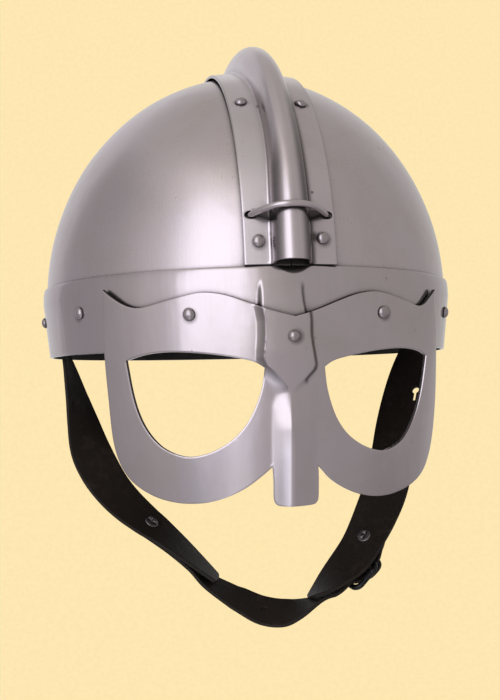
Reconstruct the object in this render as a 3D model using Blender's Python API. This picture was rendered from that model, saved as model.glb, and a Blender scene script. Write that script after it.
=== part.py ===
# Viking spectacle helmet: two skull halves, a riveted comb plate with a wire
# staple, a brow band, a spectacle mask and a leather chin strap with a buckle.
# Built in metres, +Z up, front towards -Y. Heights below are measured from the
# lower edge of the brow band; the empty "helmet" drops everything so that the
# world origin is where the crown of the head touches the bowl.
import bpy
import bmesh
import numpy as np
from math import atan2, cos, pi, radians, sin, sqrt
from mathutils import Matrix, Vector

MM = 0.001

# bowl
BOWL_HALF_WIDTH = 104.0 * MM
BOWL_HALF_LENGTH = 119.0 * MM
BOWL_RISE = 115.4 * MM        # widest line to the top
BOWL_WIDEST_Z = 29.4 * MM
BOWL_RIM_Z = 5.0 * MM
BOWL_SHEET = 1.6 * MM
PLAN_POWER = 1.94             # 2 is an ellipse, less is leaner at the corners
SEAM_GAP = 0.5 * MM

# brow band
BAND_HEIGHT = 33.8 * MM
BAND_SHOULDER_Z = 26.5 * MM   # above this the edge is rolled in to the bowl
BAND_HALF_WIDTH = 106.0 * MM
BAND_HALF_LENGTH = 121.8 * MM
BAND_TAPER = 0.11             # inward for each unit down
BAND_SHEET = 1.8 * MM
BAND_EDGE = 0.6 * MM

# spectacle mask
MASK_SHEET = 1.8 * MM
NASAL_FOLD = 2.4 * MM         # how far the nose ridge stands out
NASAL_HALF_WIDTH = 9.8 * MM

# comb
COMB_HALF_WIDTH = 20.2 * MM
COMB_SHEET = 1.5 * MM
RIDGE_HALF_WIDTH = 8.4 * MM
RIDGE_HEIGHT = 14.5 * MM
RIDGE_FILLET = 1.6 * MM
COMB_END_Z = 35.4 * MM
STAPLE_WIRE = 3.2 * MM
STAPLE_HALF_SPAN = 16.6 * MM
STAPLE_Z = 56.5 * MM

# rivets
RIVET_RADIUS = 3.0 * MM
RIVET_DOME = 2.0 * MM

# chin strap
STRAP_WIDTH = 22.5 * MM
TONGUE_WIDTH = 17.0 * MM
LEATHER = 1.8 * MM
BUCKLE_WIRE = 2.8 * MM
BUCKLE_LENGTH = 15.5 * MM
BUCKLE_WIDTH = 26.0 * MM

CLEAR = 0.3 * MM              # between two pieces that touch
RING_CLEAR = 0.5 * MM         # between two pieces that are round the head

SEAT_Z = BOWL_WIDEST_Z + BOWL_RISE - BOWL_SHEET

# Raised panel at the root of the nose, hammered a little off the middle:
# height, middle of the panel, half of its width, how far it is raised (mm)
NOSE_ROOT = [
    # z,   middle, half_width, rise
    (33.0, -6.0,  9.0, 0.0),
    (27.0, -5.0,  9.8, 1.3),
    (18.0, -3.4, 10.4, 2.1),
    (10.0, -2.0, 10.8, 2.3),
    (-3.0, -1.8, 12.4, 2.3),
    (-8.5, -1.2, 12.2, 2.1),
    (-14.5, -0.8, 6.4, 1.3),
    (-18.0, 0.0,  1.0, 0.0),
]
PANEL_FLANK = 1.3 * MM
PANEL_NEST = 0.4 * MM         # the band's panel is this much lower, under the mask

# Outline of one half of the mask (mm), from the middle of the brow line round
# the outside to the foot of the nose bar
MASK_EDGE = [
    # x,    z,   corner (1 where two stretches meet at an angle)
    (0.0, 12.8, 0),
    (10.0, 15.6, 0),
    (20.0, 19.4, 0),
    (29.5, 22.6, 0),
    (38.0, 23.8, 0),
    (46.0, 22.8, 0),
    (55.0, 20.6, 0),
    (63.5, 18.8, 0),
    (69.5, 20.4, 0),
    (75.0, 24.6, 0),
    (78.3, 28.0, 1),
    (78.6, 14.0, 0),
    (78.4, -2.0, 0),
    (78.1, -15.0, 0),
    (77.4, -29.0, 0),
    (76.0, -41.0, 0),
    (73.6, -49.5, 0),
    (70.0, -56.0, 0),
    (65.5, -60.3, 0),
    (59.0, -63.8, 0),
    (52.0, -65.8, 0),
    (45.0, -66.6, 0),
    (37.0, -66.1, 0),
    (29.5, -64.1, 0),
    (22.5, -60.9, 0),
    (16.5, -56.9, 0),
    (10.1, -50.9, 1),
    (10.0, -58.0, 0),
    (9.9, -64.4, 0),
    (9.0, -66.8, 0),
    (6.8, -67.7, 0),
    (0.0, -67.9, 0),
]
EYE_HOLE = [
    # x,    z,   corner
    (13.2, -8.6, 1),
    (17.5, -6.0, 0),
    (25.0, -4.1, 0),
    (35.0, -2.4, 0),
    (46.0, -1.2, 0),
    (55.0, -0.9, 0),
    (63.0, -1.8, 0),
    (69.8, -4.0, 1),
    (69.0, -9.0, 0),
    (67.7, -16.5, 0),
    (65.6, -24.5, 0),
    (62.5, -32.0, 0),
    (58.3, -38.4, 0),
    (53.0, -43.2, 0),
    (45.5, -46.0, 0),
    (38.5, -45.4, 0),
    (31.5, -42.6, 0),
    (25.0, -38.0, 0),
    (20.0, -31.8, 0),
    (16.5, -24.4, 0),
    (14.2, -16.5, 0),
]

# Chin strap: where the middle of each strap runs, and how far its width has
# turned away from front-to-back (mm, degrees)
STRAP_LEFT = [
    # x,     y,    z,   turn
    (-98.2,   0.0,  23.0,  1),
    (-97.2,   0.0,  12.0,  2),
    (-95.0,   0.0,   2.0,  7),
    (-92.0,  -1.0,  -9.6, 17),
    (-89.3,  -4.0, -21.0, 28),
    (-86.4,  -8.0, -34.4, 44),
    (-83.3, -13.0, -47.6, 61),
    (-79.0, -17.0, -57.6, 61),
    (-73.6, -21.0, -66.2, 53),
    (-66.4, -25.0, -74.4, 45),
    (-57.7, -29.0, -82.0, 36),
    (-49.3, -32.0, -88.4, 28),
    (-38.1, -35.0, -98.0, 19),
    (-23.4, -38.8, -112.0, 9),
]
STRAP_RIGHT = [
    # x,    y,    z,   turn
    (97.8,   0.0,  23.0,  -2),
    (96.4,   0.0,  12.0,  -6),
    (93.6,  -1.5,   2.0, -20),
    (90.2,  -4.0,  -8.0, -34),
    (84.6,  -8.5, -21.4, -42),
    (78.2, -16.5, -37.4, -52),
    (72.4, -26.0, -53.4, -66),
    (65.4, -35.0, -69.6, -64),
    (57.4, -41.5, -83.0, -51),
    (49.8, -46.0, -94.0, -38),
    (42.6, -49.0, -102.7, -33),
    (33.2, -51.2, -110.5, -23),
    (21.0, -53.0, -119.4, -3),
]
# The tongue between the two straps, which it overlaps at both ends
TONGUE_FREE = [
    # x,     y,     z,   turn
    (-17.4, -42.8, -119.4, 22),
    (-13.0, -44.5, -121.0, 34),
    (-3.2, -47.8, -125.8, 42),
    (6.0, -50.6, -127.2, 36),
    (13.4, -52.6, -125.4, 17),
]
TONGUE_ON_LEFT = [
    # down the left strap, out from its middle
    (104.0, 2.2),
    (116.0, 2.2),
    (128.0, 2.2),
    (140.0, 2.2),
    (152.0, 2.3),
    (162.0, 3.3),
]
# It goes under the buckle's free bar, up through the frame and over the tab.
TONGUE_ON_RIGHT = [
    # down the right strap, out from its middle
    (174.5, 2.7),
    (169.5, 2.6),
    (164.0, 2.7),
    (158.2, 2.9),
    (151.2, 7.0),
    (146.8, 9.5),
    (142.6, 9.9),
    (138.0, 9.2),
]
TONGUE_HOLES = (-52, -26)     # from the hole that the prong is in
TONGUE_HOLE_RADIUS = 1.6 * MM
KEYHOLE_AT = 47.5 * MM        # down from the strap's upper end
KEYHOLE_OFF = -7.4 * MM       # towards its front edge
SPLIT_RIVET_LEFT = 124.0 * MM
SPLIT_RIVET_RIGHT = 136.0 * MM
HEEL_BAR_AT = 143.5 * MM
HEEL_BAR_OUT = 4.6 * MM
FREE_BAR_OUT = 6.2 * MM
TAB_LENGTH = 14.5 * MM
TAB_WIDTH = 16.0 * MM
TAB_LEATHER = 1.4 * MM
BUCKLE_LIES_AT = 155.0 * MM   # here the stiff buckle is square to the strap
TAB_FREE_FROM = 130.0 * MM    # the tab follows the strap up to here
TAB_STIFF_FROM = 139.0 * MM   # and the buckle from here
STIFF_PAST_BAR = 2.0 * MM     # past the free bar the tongue follows the strap again
STIFF_FADES_OVER = 4.0 * MM
PRONG_RADIUS = 0.9 * MM
PRONG_TIP_OUT = FREE_BAR_OUT + BUCKLE_WIRE / 2 + PRONG_RADIUS + 0.6 * MM


# ---------------------------------------------------------------- helpers

def start_scene():
    for obj in list(bpy.data.objects):
        bpy.data.objects.remove(obj, do_unlink=True)
    helmet = bpy.data.objects.new("helmet", None)
    helmet.location = (0, 0, -SEAT_Z)
    bpy.context.collection.objects.link(helmet)
    return helmet


def make_material(name, color, roughness, metallic):
    material = bpy.data.materials.new(name)
    material.use_nodes = True
    shader = material.node_tree.nodes["Principled BSDF"]
    shader.inputs["Base Color"].default_value = (*color, 1)
    shader.inputs["Roughness"].default_value = roughness
    shader.inputs["Metallic"].default_value = metallic
    return material


def add_object(name, mesh, material, sharp=35):
    obj = bpy.data.objects.new(name, mesh)
    bpy.context.collection.objects.link(obj)
    obj.parent = helmet
    if material:
        mesh.materials.clear()
        mesh.materials.append(material)
    mesh.shade_smooth()
    mesh.set_sharp_from_angle(angle=radians(sharp))
    return obj


def add_cutter(name, mesh):
    cutter = add_object(name, mesh, None)
    cutter.hide_render = True
    cutter.display_type = "WIRE"
    return cutter


def face_out(bm):
    bmesh.ops.recalc_face_normals(bm, faces=bm.faces)
    if bm.calc_volume(signed=True) < 0:
        bmesh.ops.reverse_faces(bm, faces=bm.faces)


def finish_mesh(name, bm):
    face_out(bm)
    mesh = bpy.data.meshes.new(name)
    bm.to_mesh(mesh)
    bm.free()
    return mesh


def loft(name, sections, close_along=False):
    """Skins closed sections of equal length, capping both ends of an open run."""
    bm = bmesh.new()
    rings = [[bm.verts.new(p) for p in section] for section in sections]
    pairs = list(zip(rings, rings[1:]))
    if close_along:
        pairs.append((rings[-1], rings[0]))
    for ring, following in pairs:
        for i in range(len(ring)):
            j = (i + 1) % len(ring)
            bm.faces.new((ring[i], ring[j], following[j], following[i]))
    if not close_along:
        bm.faces.new(rings[0])
        bm.faces.new(list(reversed(rings[-1])))
    bmesh.ops.triangulate(bm, faces=[f for f in bm.faces if len(f.verts) > 4])
    return finish_mesh(name, bm)


def smooth_run(rows, steps):
    """Catmull-Rom points through rows of (x, z, corner), broken at corners."""
    stretches = [[]]
    for row in rows:
        stretches[-1].append(Vector(row[:2]))
        if row[2] and len(stretches[-1]) > 1:
            stretches.append([Vector(row[:2])])
    run = []
    for stretch in stretches:
        for i in range(len(stretch) - 1):
            before = stretch[max(i - 1, 0)]
            after = stretch[min(i + 2, len(stretch) - 1)]
            a, b = stretch[i], stretch[i + 1]
            for k in range(steps):
                t = k / steps
                run.append(0.5 * (2 * a + (b - before) * t
                                  + (2 * before - 5 * a + 4 * b - after) * t ** 2
                                  + (3 * a - before - 3 * b + after) * t ** 3))
    return [p * MM for p in run] + [Vector(rows[-1][:2]) * MM]


def prism(name, outline, depth):
    """Extrudes an (x, z) outline to both sides of the XZ plane."""
    bm = bmesh.new()
    front = bm.faces.new([bm.verts.new((p[0], -depth, p[1])) for p in outline])
    back = bmesh.ops.extrude_face_region(bm, geom=[front])["geom"]
    moved = [v for v in back if isinstance(v, bmesh.types.BMVert)]
    bmesh.ops.translate(bm, verts=moved, vec=(0, 2 * depth, 0))
    return finish_mesh(name, bm)


def cut_sheet(name, xs, zs, thickness, outline, holes):
    """Flat sheet in XZ with its face at y=0 and its back at y=thickness, divided
    at xs and zs so that it can bend, cut to an outline and pierced by holes."""
    bm = bmesh.new()
    layers = []
    for y in (0, thickness):
        layers.append([[bm.verts.new((x, y, z)) for z in zs] for x in xs])
    for layer in layers:
        for i in range(len(xs) - 1):
            for j in range(len(zs) - 1):
                bm.faces.new((layer[i][j], layer[i + 1][j],
                              layer[i + 1][j + 1], layer[i][j + 1]))
    front, back = layers
    rim = [(i, 0) for i in range(len(xs))]
    rim += [(len(xs) - 1, j) for j in range(1, len(zs))]
    rim += [(i, len(zs) - 1) for i in range(len(xs) - 2, -1, -1)]
    rim += [(0, j) for j in range(len(zs) - 2, 0, -1)]
    for (i, j), (k, m) in zip(rim, rim[1:] + rim[:1]):
        bm.faces.new((front[i][j], front[k][m], back[k][m], back[i][j]))
    sheet = add_object(name + "_flat", finish_mesh(name + "_flat", bm), None)
    cutters = [add_cutter(name + "_outline", prism(name, outline, thickness * 3))]
    cutters += [add_cutter(name + "_hole", prism(name, hole, thickness * 3))
                for hole in holes]
    for n, cutter in enumerate(cutters):
        cut = sheet.modifiers.new("cut", "BOOLEAN")
        cut.object = cutter
        cut.operation = "DIFFERENCE" if n else "INTERSECT"
        cut.solver = "EXACT"
    bpy.context.view_layer.update()
    depsgraph = bpy.context.evaluated_depsgraph_get()
    mesh = bpy.data.meshes.new_from_object(sheet.evaluated_get(depsgraph))
    for obj in [sheet] + cutters:
        bpy.data.objects.remove(obj, do_unlink=True)
    return mesh


def bend(mesh, place, cuts=()):
    """Moves every point (x, y, z) of a flat piece to place(x, y, z), after
    dividing it across x at the given cuts."""
    bm = bmesh.new()
    bm.from_mesh(mesh)
    for x in cuts:
        bmesh.ops.bisect_plane(bm, geom=bm.verts[:] + bm.edges[:] + bm.faces[:],
                               plane_co=(x, 0, 0), plane_no=(1, 0, 0))
    bmesh.ops.remove_doubles(bm, verts=bm.verts, dist=0.00002)
    bmesh.ops.triangulate(bm, faces=bm.faces)
    for v in bm.verts:
        v.co = place(*v.co)
    face_out(bm)
    bm.to_mesh(mesh)
    bm.free()
    return mesh


def wire(name, points, radius, material, cyclic=False, rounds=2):
    curve = bpy.data.curves.new(name, "CURVE")
    curve.dimensions = "3D"
    curve.bevel_depth = radius
    curve.bevel_resolution = rounds
    curve.use_fill_caps = True
    spline = curve.splines.new("POLY")
    spline.points.add(len(points) - 1)
    for point, co in zip(spline.points, points):
        point.co = (*co, 1)
    spline.use_cyclic_u = cyclic
    obj = bpy.data.objects.new(name, curve)
    bpy.context.collection.objects.link(obj)
    obj.parent = helmet
    curve.materials.append(material)
    return obj


# ---------------------------------------------------------------- forms

def plan(angle, half_width, half_length):
    """Point of the plan outline; angle 0 is the front, a quarter turn is +X."""
    s, c = sin(angle), cos(angle)
    x = half_width * abs(s) ** (2 / PLAN_POWER) * (1 if s >= 0 else -1)
    y = -half_length * abs(c) ** (2 / PLAN_POWER) * (1 if c >= 0 else -1)
    return x, y


def plan_front(x, half_width, half_length):
    """Front of the plan outline at a given x, and its outward normal."""
    u = min(abs(x) / half_width, 0.9999)
    v = (1 - u ** PLAN_POWER) ** (1 / PLAN_POWER)
    normal = Vector((u ** (PLAN_POWER - 1) / half_width * (1 if x >= 0 else -1),
                     -v ** (PLAN_POWER - 1) / half_length, 0))
    return -half_length * v, normal.normalized()


def bowl_scale(z, out=0.0):
    return sqrt(max(1 - ((z - BOWL_WIDEST_Z) / (BOWL_RISE + out)) ** 2, 0))


def band_size(z):
    """Half width and half length of the band's outer face at height z."""
    drop = BAND_TAPER * (BAND_SHOULDER_Z - z)
    return BAND_HALF_WIDTH - drop, BAND_HALF_LENGTH - drop


def column(rows, z):
    """Linear reading of a table whose first column is a falling height."""
    z = z / MM
    if z >= rows[0][0]:
        return rows[0][1:]
    for upper, lower in zip(rows, rows[1:]):
        if z >= lower[0]:
            t = (upper[0] - z) / (upper[0] - lower[0])
            return tuple(a + (b - a) * t for a, b in zip(upper[1:], lower[1:]))
    return rows[-1][1:]


def nose_relief(x, z):
    """How far the panel and the folded nose bar stand out of the plain sheet."""
    middle, half_width, rise = (v * MM for v in column(NOSE_ROOT, z))
    inside = half_width + PANEL_FLANK - abs(x - middle)
    panel = rise * min(max(inside / (2 * PANEL_FLANK), 0), 1)
    start = min(max((-12 * MM - z) / (8 * MM), 0), 1)
    fold = NASAL_FOLD * start * max(1 - abs(x) / NASAL_HALF_WIDTH, 0)
    return max(panel, fold)


# x where the sheets divide near the nose, shared by band and mask
NOSE_CUTS = [-19, -17, -15.5, -14, -12.6, -11.2, -9.8, -8, -5, -2.5, 0,
             2.5, 5, 6.6, 8, 9.8, 11.2, 12.4, 14, 16, 19]
BAND_ROWS = (0.0, 6.5, 13.0, 20.0)              # mm, below the shoulder


# ---------------------------------------------------------------- bowl

def bowl_half(name, side):
    """One skull half: a quarter-turned shell from the rim to the pole."""
    turns, rises = 22, 12
    bm = bmesh.new()
    low = atan2((BOWL_RIM_Z - BOWL_WIDEST_Z) / BOWL_RISE, bowl_scale(BOWL_RIM_Z))
    rows = []
    for j in range(rises):
        up = low + (pi / 2 - low) * j / rises
        z = BOWL_WIDEST_Z + BOWL_RISE * sin(up)
        row = []
        for i in range(turns + 1):
            x, y = plan(pi * i / turns, BOWL_HALF_WIDTH, BOWL_HALF_LENGTH)
            x = max(x * cos(up), SEAM_GAP / 2)
            row.append(bm.verts.new((side * x, y * cos(up), z)))
        rows.append(row)
    pole = bm.verts.new((side * SEAM_GAP / 2, 0, BOWL_WIDEST_Z + BOWL_RISE))
    for lower, upper in zip(rows, rows[1:]):
        for i in range(turns):
            quad = (lower[i], lower[i + 1], upper[i + 1], upper[i])
            bm.faces.new(quad if side > 0 else quad[::-1])
    for i in range(turns):
        cap = (rows[-1][i], rows[-1][i + 1], pole)
        bm.faces.new(cap if side > 0 else cap[::-1])
    mesh = bpy.data.meshes.new(name)
    bm.to_mesh(mesh)
    bm.free()
    obj = add_object(name, mesh, steel)
    sheet = obj.modifiers.new("sheet", "SOLIDIFY")
    sheet.thickness = BOWL_SHEET
    sheet.offset = -1
    return obj


# ---------------------------------------------------------------- band

def band_section(x_front, angle):
    """Closed cross-section of the band at one place round the head."""
    def at(size, z, relief=0.0):
        if x_front is None:
            x, y = plan(angle, *size)
            return Vector((x, y, z))
        y, normal = plan_front(x_front, *size)
        return Vector((x_front, y, z)) + normal * relief

    def panel(z):
        return max(nose_relief(x_front, z) - PANEL_NEST, 0) if x_front is not None else 0

    def bowl_size(z):
        scale = bowl_scale(z)
        return BOWL_HALF_WIDTH * scale + RING_CLEAR, BOWL_HALF_LENGTH * scale + RING_CLEAR

    outer = []
    for z in [row * MM for row in BAND_ROWS] + [BAND_SHOULDER_Z]:
        outer.append(at(band_size(z), z, panel(z)))
    roll = BAND_HEIGHT - BAND_SHOULDER_Z
    top = bowl_size(BAND_HEIGHT)
    for turn in (30, 55, 76):
        z = BAND_SHOULDER_Z + roll * sin(radians(turn))
        keep = cos(radians(turn))
        size = [t + BAND_EDGE + (s - t - BAND_EDGE) * keep
                for s, t in zip(band_size(BAND_SHOULDER_Z), top)]
        outer.append(at(size, z, panel(z) * keep))
    outer.append(at([t + BAND_EDGE * 0.5 for t in top], BAND_HEIGHT))
    inner = []
    for z in (BAND_HEIGHT - 0.4 * MM, BAND_SHOULDER_Z, 13.0 * MM, 5.0 * MM, 0.0):
        size = [max(s - BAND_SHEET, b)
                for s, b in zip(band_size(z), bowl_size(max(z, 5 * MM)))]
        if z > BAND_SHOULDER_Z:
            size = bowl_size(z)
        inner.append(at(size, z))
    return outer + inner


def brow_band():
    edge = NOSE_CUTS[-1] * MM
    y, _ = plan_front(edge, BAND_HALF_WIDTH, BAND_HALF_LENGTH)
    first = atan2((edge / BAND_HALF_WIDTH) ** (PLAN_POWER / 2),
                  (-y / BAND_HALF_LENGTH) ** (PLAN_POWER / 2))
    steps = 40
    sections = [band_section(x * MM, None) for x in NOSE_CUTS]
    for i in range(1, steps):
        sections.append(band_section(None, first + (2 * pi - 2 * first) * i / steps))
    return add_object("brow_band", loft("brow_band", sections, True), steel)


# ---------------------------------------------------------------- mask

def mask_place(x, y, z):
    """Bends the flat mask round the band; y is the depth into the sheet."""
    out = CLEAR + MASK_SHEET
    half_width, half_length = band_size(z)
    front, normal = plan_front(x, half_width + out, half_length + out)
    return Vector((x, front, z)) + normal * (nose_relief(x, z) - y)


def spectacle_mask():
    half = smooth_run(MASK_EDGE, 2)
    outline = half + [Vector((-p.x, p.y)) for p in reversed(half[1:-1])]
    hole = smooth_run(EYE_HOLE + EYE_HOLE[:1], 2)[:-1]
    holes = [hole, [Vector((-p.x, p.y)) for p in hole]]
    wide = [25.5 + 9 * i for i in range(7)]
    xs = [-x for x in reversed(wide)] + NOSE_CUTS + wide
    zs = [-70, -60, -50, -40, -30, -22, -18, -14.5, -11.5, -8.5, -3]
    zs += list(BAND_ROWS) + [26.5, 31]
    flat = cut_sheet("spectacle_mask", [x * MM for x in xs], [z * MM for z in zs],
                     MASK_SHEET, outline, holes)
    return add_object("spectacle_mask", bend(flat, mask_place), steel)


# ---------------------------------------------------------------- comb

def comb_frame(up):
    """Origin on the bowl's middle line, with the outward and forward directions.
    up runs from the front rim (0) over the pole (90) to the back (180)."""
    a = radians(up)
    point = Vector((0, -BOWL_HALF_LENGTH * cos(a), BOWL_WIDEST_Z + BOWL_RISE * sin(a)))
    out = Vector((0, -cos(a) / BOWL_HALF_LENGTH, sin(a) / BOWL_RISE)).normalized()
    return point, out


def comb_up(z):
    """The front position whose height is z."""
    return np.degrees(np.arcsin((z - BOWL_WIDEST_Z) / BOWL_RISE))


def flange_drop(x):
    """The plate's flats follow the bowl's side-to-side curve part of the way."""
    radius = 95 * MM
    return 0.6 * (radius - sqrt(radius ** 2 - x ** 2))


def ridge_profile(inset):
    """Half of the comb's outer line as (x, height), from the edge to the crest.
    inset gives the same line on the sheet's inner face."""
    w, r = RIDGE_HALF_WIDTH - inset, RIDGE_FILLET + inset
    top = RIDGE_HEIGHT - inset
    line = [(COMB_HALF_WIDTH, -inset), (14.5 * MM, -inset), (w + r, -inset)]
    line += [(w + r * (1 - sin(radians(t))), r * (1 - cos(radians(t))) - inset)
             for t in (45, 80)]
    crown = w * 0.95
    line += [(crown * cos(radians(t)), top - crown + crown * sin(radians(t)))
             for t in (5, 35, 62)]
    return line + [(0, top)]


def comb_section(up):
    point, out = comb_frame(up)
    base = CLEAR + COMB_SHEET
    loop = []
    for inset, order in ((0, 1), (COMB_SHEET, -1)):
        half = ridge_profile(inset)
        line = [(-x, h) for x, h in half] + list(reversed(half[:-1]))
        for x, h in line[::order]:
            loop.append(point + Vector((x, 0, 0)) + out * (base + h - flange_drop(x)))
    return loop


def comb_place(up, x, height):
    """Point at a sideways place on the comb's flat, height above its face."""
    point, out = comb_frame(up)
    base = CLEAR + COMB_SHEET - flange_drop(x)
    return point + Vector((x, 0, 0)) + out * (base + height)


def comb_plate():
    first = comb_up(COMB_END_Z)
    steps = 22
    sections = [comb_section(first + (180 - 2 * first) * i / steps)
                for i in range(steps + 1)]
    obj = add_object("comb_plate", loft("comb_plate", sections), steel)
    up = comb_up(STAPLE_Z)
    _, out = comb_frame(up)
    turn = Vector((0, 0, 1)).rotation_difference(out).to_matrix().to_4x4()
    for side in (-1, 1):
        bm = bmesh.new()
        bmesh.ops.create_cone(bm, cap_ends=True, segments=12, radius1=2.2 * MM,
                              radius2=2.2 * MM, depth=12 * MM)
        bmesh.ops.scale(bm, verts=bm.verts, vec=(1.5, 1, 1))
        bm.transform(Matrix.Translation(comb_place(up, side * STAPLE_HALF_SPAN, 0)) @ turn)
        cutter = add_cutter("staple_hole", finish_mesh("staple_hole", bm))
        cut = obj.modifiers.new("staple_hole", "BOOLEAN")
        cut.object = cutter
        cut.solver = "EXACT"
    return obj


def comb_staple():
    """Wire bent over the ridge, its ends down in the plate's two oval holes."""
    up = comb_up(STAPLE_Z)
    over = RIDGE_HEIGHT + CLEAR + STAPLE_WIRE / 2
    foot = -COMB_SHEET + STAPLE_WIRE * 0.62
    points = []
    for t in np.linspace(-90, 90, 15):
        x = STAPLE_HALF_SPAN * sin(radians(t))
        rise = cos(radians(t)) ** 0.62
        points.append(comb_place(up, x, foot + (over - foot) * rise))
    return wire("comb_staple", points, STAPLE_WIRE / 2, steel)


# ---------------------------------------------------------------- rivets

def rivet_mesh():
    bm = bmesh.new()
    sides = 8
    rings = []
    for t in (0, 32, 62):
        radius = RIVET_RADIUS * cos(radians(t))
        rings.append([bm.verts.new((radius * cos(2 * pi * i / sides),
                                    radius * sin(2 * pi * i / sides),
                                    RIVET_DOME * sin(radians(t)))) for i in range(sides)])
    top = bm.verts.new((0, 0, RIVET_DOME))
    bm.faces.new(list(reversed(rings[0])))
    for ring, upper in zip(rings, rings[1:]):
        for i in range(sides):
            j = (i + 1) % sides
            bm.faces.new((ring[i], ring[j], upper[j], upper[i]))
    for i in range(sides):
        bm.faces.new((rings[-1][i], rings[-1][(i + 1) % sides], top))
    return finish_mesh("rivet", bm)


def set_rivet(name, mesh, point, out, lift):
    """Stands a rivet head on a surface, its base clear of the sheet."""
    out = out.normalized()
    obj = add_object(name, mesh, steel)
    obj.rotation_mode = "QUATERNION"
    obj.rotation_quaternion = Vector((0, 0, 1)).rotation_difference(out)
    obj.location = point + out * lift
    return obj


def comb_rivets(mesh):
    """Five pairs of rivets along the comb's flats."""
    for n, up in enumerate((8.4, 47.8, 90, 132.2, 171.6)):
        for side, word in ((-1, "left"), (1, "right")):
            x = side * 14.3 * MM
            a, b = comb_place(up, x - MM, 0), comb_place(up, x + MM, 0)
            _, out = comb_frame(up)
            across = (b - a).normalized()
            normal = (out - across * out.dot(across)).normalized()
            set_rivet(f"comb_rivet_{n + 1}_{word}", mesh, comb_place(up, x, 0),
                      normal, CLEAR)


def band_rivets(mesh):
    """Rivets round the band; the front ones sit on the mask."""
    places = [("nose", 0.0, 4.8), ("brow", 24.6, 14.8), ("temple", 57.0, 18.6),
              ("ear", 91.0, 16.5), ("rear", 124.0, 16.5), ("back", 157.0, 16.5)]
    for word, turn, z in places:
        for side, hand in ((-1, "left"), (1, "right")) if turn else ((1, "mid"),):
            z_mm = z * MM
            half_width, half_length = band_size(z_mm)
            out = 0.0 if turn > 45 else CLEAR + MASK_SHEET
            x, y = plan(radians(turn), half_width + out, half_length + out)
            u = abs(x) / half_width
            v = abs(y) / half_length
            front = -1 if y < 0 else 1
            normal = Vector((side * u ** (PLAN_POWER - 1) / half_width,
                             front * v ** (PLAN_POWER - 1) / half_length, 0))
            normal = normal.normalized() - Vector((0, 0, BAND_TAPER))
            relief = nose_relief(0, z_mm) if not turn else 0
            set_rivet(f"band_rivet_{word}_{hand}", mesh, Vector((side * x, y, z_mm)),
                      normal, relief + CLEAR)


# ---------------------------------------------------------------- chin strap

class Strap:
    """A strap's middle line with its width and face directions at each place."""

    def __init__(self, rows):
        points = [Vector(r[:3]) * MM for r in rows]
        turns = [r[3] for r in rows]
        self.points, self.turns = [], []
        for i in range(len(points) - 1):
            before, after = points[max(i - 1, 0)], points[min(i + 2, len(points) - 1)]
            a, b = points[i], points[i + 1]
            for k in range(12):
                t = k / 12
                self.points.append(0.5 * (2 * a + (b - before) * t
                                          + (2 * before - 5 * a + 4 * b - after) * t ** 2
                                          + (3 * a - before - 3 * b + after) * t ** 3))
                ease = t * t * (3 - 2 * t)
                self.turns.append(turns[i] + (turns[i + 1] - turns[i]) * ease)
        self.points.append(points[-1])
        self.turns.append(turns[-1])
        gaps = [(q - p).length for p, q in zip(self.points, self.points[1:])]
        self.along = np.concatenate([[0], np.cumsum(gaps)])
        self.length = float(self.along[-1])

    def read(self, s):
        columns = list(zip(*self.points)) + [self.turns]
        return [float(np.interp(s, self.along, c)) for c in columns]

    def frame(self, s):
        """Point, direction along, direction across (front to rear) and face."""
        s = min(max(s, 0), self.length)
        *point, turn = self.read(s)
        ahead = Vector(self.read(min(s + 2 * MM, self.length))[:3])
        behind = Vector(self.read(max(s - 2 * MM, 0))[:3])
        along = (ahead - behind).normalized()
        level = Vector((0, 1, 0)) - along * along.y
        level.normalize()
        across = level * cos(radians(turn)) + along.cross(level) * sin(radians(turn))
        return Vector(point), along, across, along.cross(across)

    def nearest(self, target):
        """Distance along the strap whose middle is nearest to a point."""
        gaps = [(p - target).length for p in self.points]
        return float(self.along[int(np.argmin(gaps))])

    def place(self, s, across, out):
        """Point on or off the strap, carried on straight past its ends."""
        point, along, width, face = self.frame(s)
        overrun = s - min(max(s, 0), self.length)
        return point + along * overrun + width * across + face * out


def leather_strip(name, strap, width, start, end, nose, holes, steps):
    """Flat strip with rounded ends laid along a strap's middle line."""
    half = width / 2
    outline = [Vector((start, -half)), Vector((end - nose, -half))]
    for t in (-60, -30, 0, 30, 60):
        outline.append(Vector((end - nose + nose * cos(radians(t)), half * sin(radians(t)))))
    outline += [Vector((end - nose, half)), Vector((start, half))]
    xs = np.linspace(start - 2 * MM, end + 2 * MM, steps)
    zs = (-half - MM, -half / 3, half / 3, half + MM)
    flat = cut_sheet(name, xs, zs, LEATHER, outline, holes)
    bent = bend(flat, lambda x, y, z: strap.place(x, z, LEATHER / 2 - y))
    return add_object(name, bent, leather)


def round_hole(s, across, radius, sides=8):
    return [Vector((s + radius * cos(2 * pi * i / sides),
                    across + radius * sin(2 * pi * i / sides))) for i in range(sides)]


def keyhole(s, across):
    """Round hole with a short slit running down the strap from it."""
    radius, slit, length = 2.0 * MM, 0.7 * MM, 6.5 * MM
    arc = [Vector((s + radius * cos(radians(t)), across + radius * sin(radians(t))))
           for t in range(30, 331, 50)]
    return arc + [Vector((s + length, across - slit)), Vector((s + length, across + slit))]


def split_rivet(name, strap, s, face):
    """Round washer under the split rivet's two curled prongs."""
    point, _, _, out = strap.frame(s)
    bm = bmesh.new()
    bmesh.ops.create_cone(bm, cap_ends=True, segments=12, radius1=3.4 * MM,
                          radius2=3.0 * MM, depth=1.1 * MM)
    obj = add_object(name, finish_mesh(name, bm), steel)
    obj.rotation_mode = "QUATERNION"
    out = out * face
    obj.rotation_quaternion = Vector((0, 0, 1)).rotation_difference(out)
    obj.location = point + out * (LEATHER / 2 + CLEAR + 0.55 * MM)
    return obj


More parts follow.
